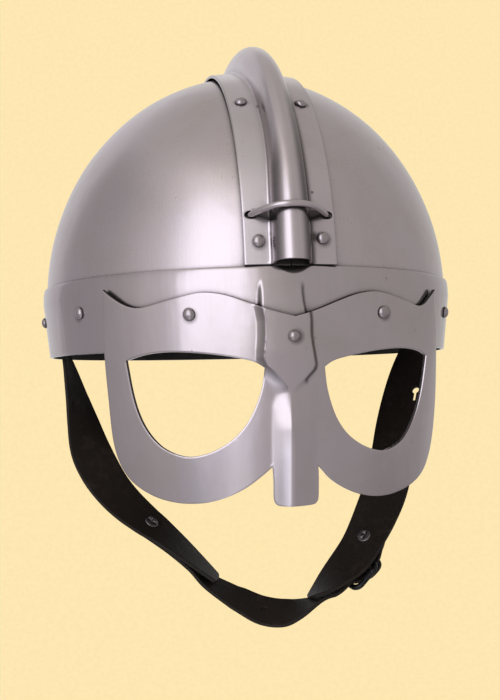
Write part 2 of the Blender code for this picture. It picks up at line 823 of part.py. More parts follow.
def chin_strap():
    left, right = Strap(STRAP_LEFT), Strap(STRAP_RIGHT)
    leather_strip("strap_left", left, STRAP_WIDTH, 0, left.length, 3 * MM,
                  [keyhole(KEYHOLE_AT, KEYHOLE_OFF)], 29)
    leather_strip("strap_right", right, STRAP_WIDTH, 0, right.length, 4 * MM,
                  [keyhole(KEYHOLE_AT, KEYHOLE_OFF)], 29)
    split_rivet("tongue_rivet", left, SPLIT_RIVET_LEFT, 1)
    split_rivet("buckle_rivet", right, SPLIT_RIVET_RIGHT, -1)

    # the tongue lies against the outer face of the left strap, passes under the
    # chin and comes up against the outer face of the right one
    rows = []
    for s, out in TONGUE_ON_LEFT:
        rows.append((*(left.place(s * MM, 0, -out * MM) / MM), left.read(s * MM)[3]))
    rows += TONGUE_FREE
    for s, out in TONGUE_ON_RIGHT:
        in_buckle = TAB_STIFF_FROM < s * MM < HEEL_BAR_AT + BUCKLE_LENGTH
        point = on_buckle(right, s * MM, 0, out * MM)
        turn = right.read(BUCKLE_LIES_AT if in_buckle else s * MM)[3]
        rows.append((*(point / MM), -turn))
    tongue = Strap(rows)
    pierced = tongue.nearest(on_buckle(right, *prong_crossing()))
    slot = [Vector((pierced + 3.6 * MM * cos(t), 1.7 * MM * sin(t)))
            for t in np.linspace(0, 2 * pi, 10, endpoint=False)]
    holes = [round_hole(pierced + step * MM, 0, TONGUE_HOLE_RADIUS) for step in TONGUE_HOLES]
    leather_strip("strap_tongue", tongue, TONGUE_WIDTH, 0, tongue.length, 6 * MM,
                  holes + [slot], 34)
    print("strap lengths (mm)", [round(s.length / MM) for s in (left, right, tongue)])
    buckle_frame(right)
    buckle_prong(right)
    buckle_tab(right)


def on_buckle(strap, s, across, out):
    """Point by the right strap: the buckle is flat where the strap still twists."""
    soft = strap.place(s, across, out)
    point, along, width, face = strap.frame(BUCKLE_LIES_AT)
    stiff = point + along * (s - BUCKLE_LIES_AT) + width * across + face * out
    mix = (s - TAB_FREE_FROM) / (TAB_STIFF_FROM - TAB_FREE_FROM)
    past_bar = s - HEEL_BAR_AT - BUCKLE_LENGTH - STIFF_PAST_BAR
    if past_bar > 0:
        mix = 1 - past_bar / STIFF_FADES_OVER
    return soft.lerp(stiff, min(max(mix, 0), 1))


def prong_line(t):
    """The prong from the heel bar (0) to its tip over the free bar (1)."""
    start = HEEL_BAR_AT + BUCKLE_WIRE / 2 + PRONG_RADIUS + 0.2 * MM
    end = HEEL_BAR_AT + BUCKLE_LENGTH + MM
    return (start + (end - start) * t, 0,
            HEEL_BAR_OUT + (PRONG_TIP_OUT - HEEL_BAR_OUT) * t)


def prong_crossing():
    """Where the prong passes through the middle of the tongue's leather."""
    down = [s * MM for s, _ in TONGUE_ON_RIGHT][::-1]
    outs = [out * MM for _, out in TONGUE_ON_RIGHT][::-1]
    tries = [prong_line(t) for t in np.linspace(0, 1, 60)]
    return min(tries, key=lambda p: abs(float(np.interp(p[0], down, outs)) - p[2]))


def buckle_frame(strap):
    """Wire frame with rounded corners; its heel bar is the one in the tab."""
    middle = HEEL_BAR_AT + BUCKLE_LENGTH / 2
    half_l, half_w, r = BUCKLE_LENGTH / 2, BUCKLE_WIDTH / 2, 3.5 * MM
    loop = []
    for turn, cx, cy in ((0, 1, 1), (90, -1, 1), (180, -1, -1), (270, 1, -1)):
        for t in (0, 45, 90):
            a = radians(turn + t)
            s = cx * (half_l - r) + r * cos(a)
            across = cy * (half_w - r) + r * sin(a)
            t = (half_l + s) / BUCKLE_LENGTH
            out = HEEL_BAR_OUT + (FREE_BAR_OUT - HEEL_BAR_OUT) * t
            loop.append(on_buckle(strap, middle + s, across, out))
    wire("buckle_frame", loop, BUCKLE_WIRE / 2, dark_steel, cyclic=True)


def buckle_prong(strap):
    wire("buckle_prong", [on_buckle(strap, *prong_line(t)) for t in (0, 1)],
         PRONG_RADIUS, dark_steel)


def buckle_tab(strap):
    """Leather folded round the heel bar, with a slot where the prong comes out."""
    radius = BUCKLE_WIRE / 2 + 0.5 * MM + TAB_LEATHER / 2
    apart = TAB_LEATHER + 0.25 * MM
    end = HEEL_BAR_AT - TAB_LENGTH
    low = HEEL_BAR_OUT - radius
    path = [(s, low) for s in np.linspace(end, HEEL_BAR_AT, 6)[:-1]]
    fold = [radians(t) for t in (-90, -60, -30, 0, 30, 60, 90, 120)]
    path += [(HEEL_BAR_AT + radius * cos(t), HEEL_BAR_OUT + radius * sin(t)) for t in fold]
    path += [(s, low + apart) for s in np.linspace(HEEL_BAR_AT - 7 * MM, end, 4)]
    slot = range(len(path) - 10, len(path) - 7)
    columns = (-TAB_WIDTH / 2, -1.6 * MM, 1.6 * MM, TAB_WIDTH / 2)
    path = [Vector(p) for p in path]
    bm = bmesh.new()
    rows = []
    for i, point in enumerate(path):
        run = path[min(i + 1, len(path) - 1)] - path[max(i - 1, 0)]
        normal = Vector((-run.y, run.x)).normalized() * TAB_LEATHER / 2
        rows.append([[bm.verts.new(on_buckle(strap, p.x, w, p.y)) for w in columns]
                     for p in (point - normal, point + normal)])
    kept = {(i, j) for i in range(len(rows) - 1) for j in range(3)
            if not (i in slot and j == 1)}
    for i, j in kept:
        for layer in (0, 1):
            here, following = rows[i][layer], rows[i + 1][layer]
            bm.faces.new((here[j], here[j + 1], following[j + 1], following[j]))
        corners = [(i, j), (i, j + 1), (i + 1, j + 1), (i + 1, j)]
        beyond = [(i - 1, j), (i, j + 1), (i + 1, j), (i, j - 1)]
        for n, cell in enumerate(beyond):
            if cell not in kept:
                (r, c), (r2, c2) = corners[n], corners[(n + 1) % 4]
                bm.faces.new((rows[r][0][c], rows[r][1][c], rows[r2][1][c2], rows[r2][0][c2]))
    add_object("buckle_tab", finish_mesh("buckle_tab", bm), leather)


# ---------------------------------------------------------------- build

helmet = start_scene()
steel = make_material("polished_steel", (0.60, 0.57, 0.60), 0.28, 1.0)
dark_steel = make_material("dark_steel", (0.05, 0.05, 0.05), 0.4, 1.0)
leather = make_material("black_leather", (0.02, 0.017, 0.015), 0.6, 0.0)

bowl_half("bowl_left", -1)
bowl_half("bowl_right", 1)
brow_band()
spectacle_mask()
comb_plate()
comb_staple()
rivet = rivet_mesh()
comb_rivets(rivet)
band_rivets(rivet)
chin_strap()
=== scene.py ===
import bisect
from math import asin, atan2, cos, degrees, pi, radians, sin, sqrt

import bmesh
import bpy
import numpy as np
from mathutils import Matrix, Vector, noise
from mathutils.geometry import delaunay_2d_cdt


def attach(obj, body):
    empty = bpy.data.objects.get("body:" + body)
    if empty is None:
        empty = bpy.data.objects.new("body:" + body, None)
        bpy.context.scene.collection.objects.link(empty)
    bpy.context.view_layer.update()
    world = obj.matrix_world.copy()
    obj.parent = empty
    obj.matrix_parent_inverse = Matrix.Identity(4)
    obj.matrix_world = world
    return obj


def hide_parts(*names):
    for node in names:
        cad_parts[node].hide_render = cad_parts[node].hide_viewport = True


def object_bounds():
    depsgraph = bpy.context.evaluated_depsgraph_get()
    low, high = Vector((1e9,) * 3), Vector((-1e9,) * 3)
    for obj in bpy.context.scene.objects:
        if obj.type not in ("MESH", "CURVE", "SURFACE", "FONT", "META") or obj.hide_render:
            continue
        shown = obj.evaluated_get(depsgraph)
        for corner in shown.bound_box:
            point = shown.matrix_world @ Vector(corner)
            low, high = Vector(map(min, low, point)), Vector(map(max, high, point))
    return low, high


# Viking spectacle helmet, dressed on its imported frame. Shapes are worked out in
# millimetres from the lower edge of the brow band, and finishPiece moves them
# to the frame's metres.
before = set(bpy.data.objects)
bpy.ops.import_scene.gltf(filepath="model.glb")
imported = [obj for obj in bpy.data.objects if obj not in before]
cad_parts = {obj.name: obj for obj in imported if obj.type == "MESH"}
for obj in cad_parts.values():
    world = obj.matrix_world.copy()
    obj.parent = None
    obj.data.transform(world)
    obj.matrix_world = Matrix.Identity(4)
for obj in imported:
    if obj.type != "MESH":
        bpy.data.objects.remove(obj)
cadLow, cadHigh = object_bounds()
print("frame loaded:", len(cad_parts), "nodes")

mm = 0.001
rimHeight = -143.2      # the band's lower edge in the frame, mm
tiny = 0.0005           # points closer than this are one, mm
scene = bpy.context.scene


# camera, first of all

view = {
    "place": (-95.28, -552.55, -13.36),     # mm, from the rim
    "right": (0.98461, -0.17327, -0.02268),
    "up": (0.01745, -0.03166, 0.99935),
    "ahead": (0.17387, 0.98437, 0.02815),
    "lens": 53.763,
    "sensor": 36.0,
}


def makeCamera():
    camera = bpy.data.objects.new("camera", bpy.data.cameras.new("camera"))
    camera.data.lens = view["lens"]
    camera.data.sensor_width = view["sensor"]
    camera.data.clip_start = 0.01
    camera.data.clip_end = 60
    turn = Matrix((view["right"], view["up"], -Vector(view["ahead"]))).transposed()
    place = Vector(view["place"]) + Vector((0, 0, rimHeight))
    camera.matrix_world = Matrix.Translation(place * mm) @ turn.to_4x4()
    scene.collection.objects.link(camera)
    scene.camera = camera
    scene.view_settings.view_transform = "Standard"


makeCamera()


# shader wiring: a socket that does sums, and one way to add any other node

class Wire:
    def __init__(self, tree, socket):
        self.tree, self.socket = tree, socket

    def sum(self, operation, *values):
        return addNode(self.tree, "ShaderNodeMath", {"operation": operation},
                       dict(enumerate(values)))["Value"]

    def __add__(self, other):
        return self.sum("ADD", self, other)

    def __sub__(self, other):
        return self.sum("SUBTRACT", self, other)

    def __mul__(self, other):
        return self.sum("MULTIPLY", self, other)

    def __truediv__(self, other):
        return self.sum("DIVIDE", self, other)

    def __pow__(self, other):
        return self.sum("POWER", self, other)

    def __rsub__(self, other):
        return self.sum("SUBTRACT", other, self)

    def __rtruediv__(self, other):
        return self.sum("DIVIDE", other, self)

    def __neg__(self):
        return self * -1

    __radd__, __rmul__ = __add__, __mul__

    def clamped(self):
        return self.larger(0).smaller(1)

    def larger(self, other):
        return self.sum("MAXIMUM", self, other)

    def smaller(self, other):
        return self.sum("MINIMUM", self, other)

    def size(self):
        return self.sum("ABSOLUTE", self)

    def rise(self, start, end):
        # 0 before start, 1 after end, smooth between
        return addNode(self.tree, "ShaderNodeMapRange", {"interpolation_type": "SMOOTHSTEP"},
                       {"Value": self, "From Min": start, "From Max": end})["Result"]


class Outs:
    def __init__(self, tree, node):
        self.tree, self.node = tree, node

    def __getitem__(self, name):
        return Wire(self.tree, self.node.outputs[name])


def addNode(tree, kind, settings=None, sockets=None):
    node = tree.nodes.new(kind)
    for name, value in (settings or {}).items():
        if name == "stops":
            ramp = node.color_ramp
            for n, (at, color) in enumerate(value):
                stop = ramp.elements[n] if n < 2 else ramp.elements.new(at)
                stop.position, stop.color = at, (*color, 1)
        else:
            setattr(node, name, value)
    for name, value in (sockets or {}).items():
        if isinstance(value, Wire):
            tree.links.new(value.socket, node.inputs[name])
        elif isinstance(value, tuple) and len(value) == 3 and node.inputs[name].type == "RGBA":
            node.inputs[name].default_value = (*value, 1)
        else:
            node.inputs[name].default_value = value
    return Outs(tree, node)


def mixColor(tree, factor, a, b, blend="MIX"):
    node = addNode(tree, "ShaderNodeMix", {"data_type": "RGBA", "blend_type": blend},
                   {0: factor, 6: a, 7: b})
    return Wire(tree, node.node.outputs[2])


def join(tree, x, y, z):
    return addNode(tree, "ShaderNodeCombineXYZ", None, {"X": x, "Y": y, "Z": z})["Vector"]


def grain(tree, vector, scale, detail=3.0, rough=0.5, warp=0.0):
    return addNode(tree, "ShaderNodeTexNoise", None,
                   {"Vector": vector, "Scale": scale, "Detail": detail,
                    "Roughness": rough, "Distortion": warp})["Fac"]


def newMaterial(name):
    # with the place on the piece, in the frame's metres
    material = bpy.data.materials.new(name)
    material.use_nodes = True
    tree = material.node_tree
    tree.nodes.clear()
    return material, tree, addNode(tree, "ShaderNodeTexCoord")["Object"]


def bumped(tree, height, distance, strength=1.0, **more):
    return addNode(tree, "ShaderNodeBump", None,
                   {"Strength": strength, "Distance": distance * mm, "Height": height,
                    **more})["Normal"]


def closeMaterial(tree, sockets):
    shader = addNode(tree, "ShaderNodeBsdfPrincipled", None, sockets)
    addNode(tree, "ShaderNodeOutputMaterial", None, {"Surface": shader["BSDF"]})


# finishes

steelLook = {
    "color": (0.66, 0.572, 0.592),
    "warm": (0.63, 0.545, 0.535),
    "handled": (0.40, 0.35, 0.36),
    "line": (0.30, 0.26, 0.27),
    "speck": (0.20, 0.17, 0.16),
    # lighter colour for painted highlights
    "worn": (0.93, 0.85, 0.90),
    # colour of painted shade
    "grime": (0.050, 0.041, 0.038),
    "grimeReach": 7.0,      # mm round a rivet, a fold or the ridge that the painted shade reaches
    "front": (-0.08, -0.04),    # painted shade that is only in front fades here, y in metres
    "metal": 0.86,
    "glossAtEdge": 0.5,
    "lineDepth": 0.016,
    "wave": 0.05,
    # how fine the blotches are, and the noise at which each begins and is full
    "clouds": 24.0, "patches": 90.0, "specks": 260.0,
    "handledWhere": (0.47, 0.66), "speckWhere": (0.70, 0.77),
    "shutIn": (0.14, 0.62),     # how shut in a spot is where painted shade starts and is full
    # how much of each shows in the colour, and how much duller it makes the steel
    "handledShare": 0.10, "lineShare": 0.5, "speckShare": 0.3, "grimeShare": 0.96,
    "smudge": 0.05, "streakDull": 0.10, "fineDull": 0.06, "speckDull": 0.2,
    "grimeDull": 0.1,
    # coarse and close lines and broad waves: how fine across, how fine along, a shift
    "turned": ((520, 22, 0.0), (1500, 60, 3.0), (9, 26, 0.0)),
    "flat": ((5200, 26), (15000, 70), (90, 26)),
}


def follow(tree, up, rows):
    # a ramp that gives, for a height, the value that rows of (height, value) have there
    top, low = rows[0][0], rows[-1][0]
    reach = 40.0
    stops = [((row[0] - low) / (top - low), ((row[1] + reach) / (2 * reach),) * 3)
             for row in reversed(rows)]
    ramp = addNode(tree, "ShaderNodeValToRGB", {"stops": stops},
                   {"Fac": (up - low) / (top - low)})
    gray = addNode(tree, "ShaderNodeRGBToBW", None, {"Color": ramp["Color"]})
    return gray["Val"] * (2 * reach) - reach


def foldShade(tree, out, up, folds):
    # painted shade in the folds: each is (rows, from, darkest, to, amount, fade), mm
    # beside a line, and fades out at both ends of the line
    shade = None
    for rows, start, darkest, end, amount, fade in folds:
        off = out - follow(tree, up, rows)
        top, low = rows[0][0], rows[-1][0]
        dark = off.rise(start, darkest) * (1 - off.rise(darkest, end)) * amount
        dark = dark * up.rise(low - 3, low) * (1 - up.rise(top - fade, top + 1))
        shade = dark if shade is None else shade.larger(dark)
    return shade


def blot(tree, here, place, radius):
    away = addNode(tree, "ShaderNodeVectorMath", {"operation": "DISTANCE"},
                   {0: here, 1: tuple(c * mm for c in place)})["Value"]
    return 1 - away.rise(radius * 0.3 * mm, radius * mm)


def polishedSteel(name, roughness, turned=True, wave=1.0, lines=1.0, grime=1.0,
                  shade=1.0, reach=steelLook["grimeReach"], folds=(), marksAndShade=(),
                  extraShade=None, worn=None):
    # satin steel, polished with fine lines that run from rim to crown. On a piece
    # turned round the head they follow its curve, and the painted shade in folds is in
    # front. Painted shade and painted highlights are mixed into the base colour
    material, tree, here = newMaterial(name)
    split = addNode(tree, "ShaderNodeSeparateXYZ", None, {"Vector": here})
    x, y, z = split["X"], split["Y"], split["Z"]
    out, up = x / mm, z / mm - rimHeight
    front = 1 - y.rise(*steelLook["front"])
    if turned:
        angle = x.sum("ARCTAN2", x, -y)
        coarse, close, broad = [join(tree, angle * across, z * along, shift)
                                for across, along, shift in steelLook["turned"]]
    else:
        coarse, close, broad = [join(tree, x * across, z * along, y * along)
                                for across, along in steelLook["flat"]]
    streak = grain(tree, coarse, 1.0, 3.0, 0.6)
    fine = grain(tree, close, 1.0, 2.0, 0.6)
    cloud = grain(tree, here, steelLook["clouds"], 4.0, 0.6, 0.6)
    patch = grain(tree, here, steelLook["patches"], 4.0, 0.62, 0.3)
    moved = addNode(tree, "ShaderNodeVectorMath", {"operation": "ADD"},
                    {0: here, 1: (0.31, 0.17, 0.05)})["Vector"]
    spots = grain(tree, moved, steelLook["specks"], 2.0, 0.5)
    # ambient occlusion darkens the colour in nooks: painted shade
    free = addNode(tree, "ShaderNodeAmbientOcclusion", {"samples": 8},
                   {"Distance": reach * mm})["AO"]
    paintedShade = (1 - free).rise(*steelLook["shutIn"]) * grime
    if folds:
        dark = foldShade(tree, out, up, folds)
        paintedShade = paintedShade.larger(dark * front if turned else dark)
    if extraShade:
        paintedShade = paintedShade.larger(extraShade(out, up, front))
    # painted shade round rivets, and a few marks
    for place, radius, amount in marksAndShade:
        paintedShade = paintedShade.larger(blot(tree, here, place, radius) * amount)
    handled = (cloud * 0.6 + patch * 0.4).rise(*steelLook["handledWhere"])
    speck = spots.rise(*steelLook["speckWhere"]) * cloud.rise(0.45, 0.6)
    bright, warm = [tuple(c * shade for c in steelLook[k]) for k in ("color", "warm")]
    tone = mixColor(tree, cloud.rise(0.35, 0.7), bright, warm)
    streaky = (streak - 0.5).clamped()
    for much, key in ((handled, "handled"), (streaky, "line"), (speck, "speck")):
        tone = mixColor(tree, much * steelLook[key + "Share"], tone, steelLook[key])
    # painted highlight where a piece asks for one
    if worn:
        tone = mixColor(tree, worn(out, up), tone, steelLook["worn"])
    # all the painted shade is mixed into the colour here
    tone = mixColor(tree, paintedShade.smaller(1) * steelLook["grimeShare"], tone,
                    steelLook["grime"])
    facing = addNode(tree, "ShaderNodeLayerWeight", None, {"Blend": 0.5})["Facing"]
    rough = (roughness * (1 - facing ** 2 * steelLook["glossAtEdge"])
             + (streak - 0.5) * steelLook["streakDull"] * lines
             + (fine - 0.5) * steelLook["fineDull"] * lines
             + handled * steelLook["smudge"] + speck * steelLook["speckDull"]
             + paintedShade * steelLook["grimeDull"])
    bump = bumped(tree, (streak - 0.5) * 0.5 + (fine - 0.5) * 0.5,
                  steelLook["lineDepth"] * lines)
    bump = bumped(tree, grain(tree, broad, 1.0, 2.0, 0.45), steelLook["wave"] * wave,
                  Normal=bump)
    closeMaterial(tree, {"Base Color": tone, "Metallic": steelLook["metal"],
                         "Roughness": rough, "Normal": bump})
    return material


insideLook = {
    "color": (0.035, 0.032, 0.032), "scale": (0.06, 0.048, 0.04), "roughness": 0.62,
    "metal": 0.55, "pits": 0.05,
}


def blackenedInside():
    # the inner face: nearly black, with blotches and fine pits
    material, tree, here = newMaterial("blackened inside")
    blotch = grain(tree, here, 70.0, 5.0, 0.65, 0.5)
    pits = grain(tree, here, 600.0, 3.0, 0.6)
    tone = mixColor(tree, blotch.rise(0.4, 0.7), insideLook["color"], insideLook["scale"])
    closeMaterial(tree, {"Base Color": tone, "Metallic": insideLook["metal"],
                         "Normal": bumped(tree, pits, insideLook["pits"], 0.6),
                         "Roughness": insideLook["roughness"] + (blotch - 0.5) * 0.3})
    return material


leatherLook = {
    "color": (0.0195, 0.0142, 0.0112), "worn": (0.051, 0.0385, 0.031),
    "rubbed": (0.045, 0.034, 0.027), "roughness": 0.58, "gloss": 0.17, "relief": 0.16,
}


def blackLeather():
    # dyed leather: pebbled grain, soft creases, rubbed high spots
    material, tree, here = newMaterial("black leather")
    pebble = addNode(tree, "ShaderNodeTexVoronoi", {"feature": "SMOOTH_F1"},
                     {"Vector": here, "Scale": 1250.0, "Smoothness": 0.6})["Distance"]
    fibre = grain(tree, here, 2300.0, 3.0, 0.6)
    crease = grain(tree, here, 170.0, 5.0, 0.62, 0.8)
    cloud = grain(tree, here, 55.0, 4.0, 0.6)
    rubbed = (cloud * 0.5 + crease * 0.5).rise(0.5, 0.68)
    tone = mixColor(tree, rubbed * 0.55, leatherLook["color"], leatherLook["worn"])
    tone = mixColor(tree, (fibre - 0.4).clamped() * 0.45, tone, leatherLook["rubbed"])
    bump = bumped(tree, pebble * 0.5 + fibre * 0.25 + crease * 1.2,
                  leatherLook["relief"], 0.7)
    closeMaterial(tree, {"Base Color": tone, "Normal": bump,
                         "Specular IOR Level": leatherLook["gloss"],
                         "Roughness": leatherLook["roughness"] - rubbed * 0.10
                         + (fibre - 0.5) * 0.15})
    return material


buckleLook = {
    "color": (0.028, 0.026, 0.026), "bare": (0.20, 0.18, 0.175), "roughness": 0.38,
    "metal": 0.9, "pits": 0.05,
}


def blackenedSteel():
    # blackened, with bare metal starting to show in blotches
    material, tree, here = newMaterial("blackened steel")
    blotch = grain(tree, here, 420.0, 4.0, 0.6, 0.4)
    pits = grain(tree, here, 1800.0, 3.0, 0.6)
    tone = mixColor(tree, blotch.rise(0.56, 0.72) * 0.6, buckleLook["color"],
                    buckleLook["bare"])
    closeMaterial(tree, {"Base Color": tone, "Metallic": buckleLook["metal"],
                         "Normal": bumped(tree, pits, buckleLook["pits"], 0.7),
                         "Roughness": buckleLook["roughness"] + (blotch - 0.5) * 0.25})
    return material


insideSteel = blackenedInside()
leather = blackLeather()
buckleSteel = blackenedSteel()
print("plain finishes made")


# mesh helpers

def finishPiece(name, shape, materials, nodes, sharp=38,
                inside=()):
    # one shown piece, in the frame's metres, that stands for its CAD nodes; faces
    # listed as inside have the second material
    verts, faces = shape
    mesh = bpy.data.meshes.new(name)
    mesh.from_pydata([tuple(v) for v in verts], [], faces)
    if inside:
        flags = np.zeros(len(faces), dtype=np.int32)
        flags[list(inside)] = 1
        mesh.polygons.foreach_set("material_index", flags)
    bm = bmesh.new()
    bm.from_mesh(mesh)
    bmesh.ops.remove_doubles(bm, verts=bm.verts, dist=tiny)
    bmesh.ops.dissolve_degenerate(bm, dist=tiny, edges=bm.edges)
    bmesh.ops.recalc_face_normals(bm, faces=bm.faces)
    if bm.calc_volume(signed=True) < 0:
        bmesh.ops.reverse_faces(bm, faces=bm.faces)
    bm.to_mesh(mesh)
    bm.free()
    mesh.transform(Matrix.Scale(mm, 4) @ Matrix.Translation((0, 0, rimHeight)))
    for material in materials:
        mesh.materials.append(material)
    mesh.shade_smooth()
    mesh.set_sharp_from_angle(angle=radians(sharp))
    piece = bpy.data.objects.new(name, mesh)
    scene.collection.objects.link(piece)
    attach(piece, "root")
    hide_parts(*nodes)


def skinRings(rings, closed, caps=True):
    # faces between rings of equal length; closed joins the last to the first
    verts = [p for ring in rings for p in ring]
    count = len(rings[0])
    pairs = list(range(len(rings) - 1)) + ([len(rings) - 1] if closed else [])
    faces = []
    for r in pairs:
        a, b = r * count, ((r + 1) % len(rings)) * count
        for i in range(count):
            j = (i + 1) % count
            faces.append((a + i, a + j, b + j, b + i))
    if caps and not closed:
        faces.append(tuple(range(count)))
        faces.append(tuple(reversed(range(len(verts) - count, len(verts)))))
    return verts, faces


def tube(points, radii, sides=16, closed=False, flat=1.0, across=None):
    # round bar along a line; flat squashes it, across is its wide direction
    rings = []
    side = None
    last = len(points) - 1
    for i, point in enumerate(points):
        if closed:
            ahead, behind = points[(i + 1) % len(points)], points[i - 1]
        else:
            ahead, behind = points[min(i + 1, last)], points[max(i - 1, 0)]
        run = (ahead - behind).normalized()
        if side is None:
            side = across or run.orthogonal()
        side = (side - run * run.dot(side)).normalized()
        other = run.cross(side)
        radius = radii[i] if hasattr(radii, "__len__") else radii
        rings.append([point + side * radius * cos(2 * pi * k / sides)
                      + other * radius * flat * sin(2 * pi * k / sides)
                      for k in range(sides)])
    return skinRings(rings, closed)


def gather(parts):
    verts, faces = [], []
    for partVerts, partFaces in parts:
        start = len(verts)
        verts += partVerts
        faces += [tuple(i + start for i in face) for face in partFaces]
    return verts, faces


def roundEnds(points, radius, steps=4):
    # a bar's points and radii, closed in a dome at both ends
    domes = []
    for end, inner in ((points[0], points[1]), (points[-1], points[-2])):
        out = (end - inner).normalized()
        turns = [radians(90 * k / steps) for k in range(steps)]
        domes.append([(end + out * radius * cos(t), max(radius * sin(t), radius * 0.08))
                      for t in turns])
    rows = domes[0] + [(p, radius) for p in points] + domes[1][::-1]
    return [row[0] for row in rows], [row[1] for row in rows]


def curveBetween(row, i, t):
    # Catmull-Rom between entries i and i + 1 of a row of points or numbers
    before, after = row[max(i - 1, 0)], row[min(i + 2, len(row) - 1)]
    a, b = row[i], row[i + 1]
    return 0.5 * (2 * a + (b - before) * t
                  + (2 * before - 5 * a + 4 * b - after) * t ** 2
                  + (3 * a - before - 3 * b + after) * t ** 3)


def smoothLine(rows, steps):
    # a smooth line through rows of x and z, broken at the corners
    stretches = [[]]
    for row in rows:
        stretches[-1].append(Vector(row[:2]))
        if len(row) > 2 and len(stretches[-1]) > 1:
            stretches.append([Vector(row[:2])])
    return [curveBetween(run, i, k / steps)
            for run in stretches for i in range(len(run) - 1) for k in range(steps)]


def evenLoop(loop, spacing):
    # the same closed line with its points about spacing apart, corners kept
    out = []
    for i, point in enumerate(loop):
        following = loop[(i + 1) % len(loop)]
        parts = max(1, round((following - point).length / spacing))
        out += [point.lerp(following, k / parts) for k in range(parts)]
    return out


def runsOf(points):
    # how far along a line each of its points is
    gaps = [(b - a).length for a, b in zip(points, points[1:])]
    return np.concatenate([[0], np.cumsum(gaps)])


def boxLoop(x, y, farX, farY, spacing):
    return evenLoop([Vector((x, y)), Vector((farX, y)), Vector((farX, farY)),
                     Vector((x, farY))], spacing)


def ovalLoop(x, y, across, high, count=20):
    return [Vector((x + across * cos(t), y + high * sin(t)))
            for t in np.linspace(0, 2 * pi, count, endpoint=False)]


def area(loop):
    return sum(p.x * q.y - q.x * p.y for p, q in zip(loop, loop[1:] + loop[:1])) / 2


def inset(loop, amount):
    # the material is on the left of every loop
    moved = []
    for i, point in enumerate(loop):
        a = (point - loop[i - 1]).normalized()
        b = (loop[(i + 1) % len(loop)] - point).normalized()
        left = Vector((-a.y - b.y, a.x + b.x))
        left.normalize()
        half = max(left.dot(Vector((-a.y, a.x))), 0.5)
        moved.append(point + left * amount / half)
    return moved


def insideLoop(loop, points):
    inside = np.zeros(len(points), bool)
    px, py = points[:, 0], points[:, 1]
    for p, q in zip(loop, loop[1:] + loop[:1]):
        crosses = (p.y > py) != (q.y > py)
        with np.errstate(divide="ignore", invalid="ignore"):
            at = (q.x - p.x) * (py - p.y) / (q.y - p.y) + p.x
        inside ^= crosses & (px < at)
    return inside


# in from a cut edge and down from the face, as shares of the edge's rounding
rounding = [(1, 0), (0.29, 0.29), (0, 1)]
evenStrip = 0.5     # a strip of this width inside a cut edge keeps its shading even
gridGap = 0.45      # grid points keep this share of a cell away from the edge


def sheet(outline, holes, xs, ys, thick, edge, place):
    # cut sheet with rounded edges; place(x, y, depth) bends it into shape
    loops = [outline if area(outline) > 0 else outline[::-1]]
    loops += [h[::-1] if area(h) > 0 else h for h in holes]
    inner = [inset(loop, edge) for loop in loops]
    second = [inset(loop, edge + evenStrip) for loop in loops]
    grid = np.array([(x, y) for x in xs for y in ys])
    keep = insideLoop(second[0], grid)
    for loop in second[1:]:
        keep &= ~insideLoop(loop, grid)
    grid = grid[keep]
    rim = np.array([p for loop in inner + second for p in loop])
    gap = gridGap * min(np.diff(sorted(xs)).mean(), np.diff(sorted(ys)).mean())
    far = np.array([((rim - p) ** 2).sum(1).min() > gap ** 2 for p in grid])
    flat = [Vector(p) for p in rim] + [Vector(p) for p in grid[far]]
    edges, start = [], 0
    for loop in inner + second:
        count = len(loop)
        edges += [(start + i, start + (i + 1) % count) for i in range(count)]
        start += count
    flat, _, triangles, _, _, _ = delaunay_2d_cdt(flat, edges, [], 1, 1e-5)
    centres = np.array([(flat[a] + flat[b] + flat[c]) / 3 for a, b, c in triangles])
    keep = np.ones(len(triangles), bool)
    for loop in inner[1:]:
        keep &= ~insideLoop(loop, centres)
    triangles = [t for t, k in zip(triangles, keep) if k]
    verts = [place(p.x, p.y, depth) for depth in (0.0, thick) for p in flat]
    faces = [tuple(t) for t in triangles]
    faces += [tuple(i + len(flat) for i in reversed(t)) for t in triangles]
    parts = [(verts, faces)]
    for loop in loops:
        rings = [[place(p.x, p.y, edge * down) for p in inset(loop, edge * aside)]
                 for aside, down in rounding]
        rings += [[place(p.x, p.y, thick - edge * down) for p in inset(loop, edge * aside)]
                  for aside, down in reversed(rounding)]
        parts.append(skinRings(rings, False, caps=False))
    back = range(len(triangles), 2 * len(triangles))
    return gather(parts), back


# forms that several pieces share, and the finishes whose painted shade lies
# along them

skull = {
    "halfWidth": 104.0, "halfLength": 119.0, "rise": 115.4, "widestHeight": 29.4,
    "rimHeight": 5.0, "sheet": 1.6, "planPower": 1.94, "seamGap": 0.5,
    "turns": 110, "rises": 84,
    # dents of the hammer: depth, large and small, and from what height up
    "hammer": 0.10, "leastDent": 0.7, "dents": 0.035, "smallDents": 0.085,
    "smallShare": 0.45, "hammerFrom": 42, "hammerOver": 26,
}
band = {
    "height": 34.7, "shoulder": 27.0, "halfWidth": 106.0, "halfLength": 121.8,
    "taper": 0.11, "sheet": 1.8, "edge": 0.6, "clearOfBowl": 0.5, "nest": 0.4,
    "panelHalf": 24.0, "turns": 260,
    # in and up at the lower edge, out and down at the top one
    "lowerEdge": ((0.35, 0.0), (0.08, 0.12)), "topEdge": ((0.75, 0.05), (0.4, 0.0)),
}
clear = 0.3     # between two pieces that touch

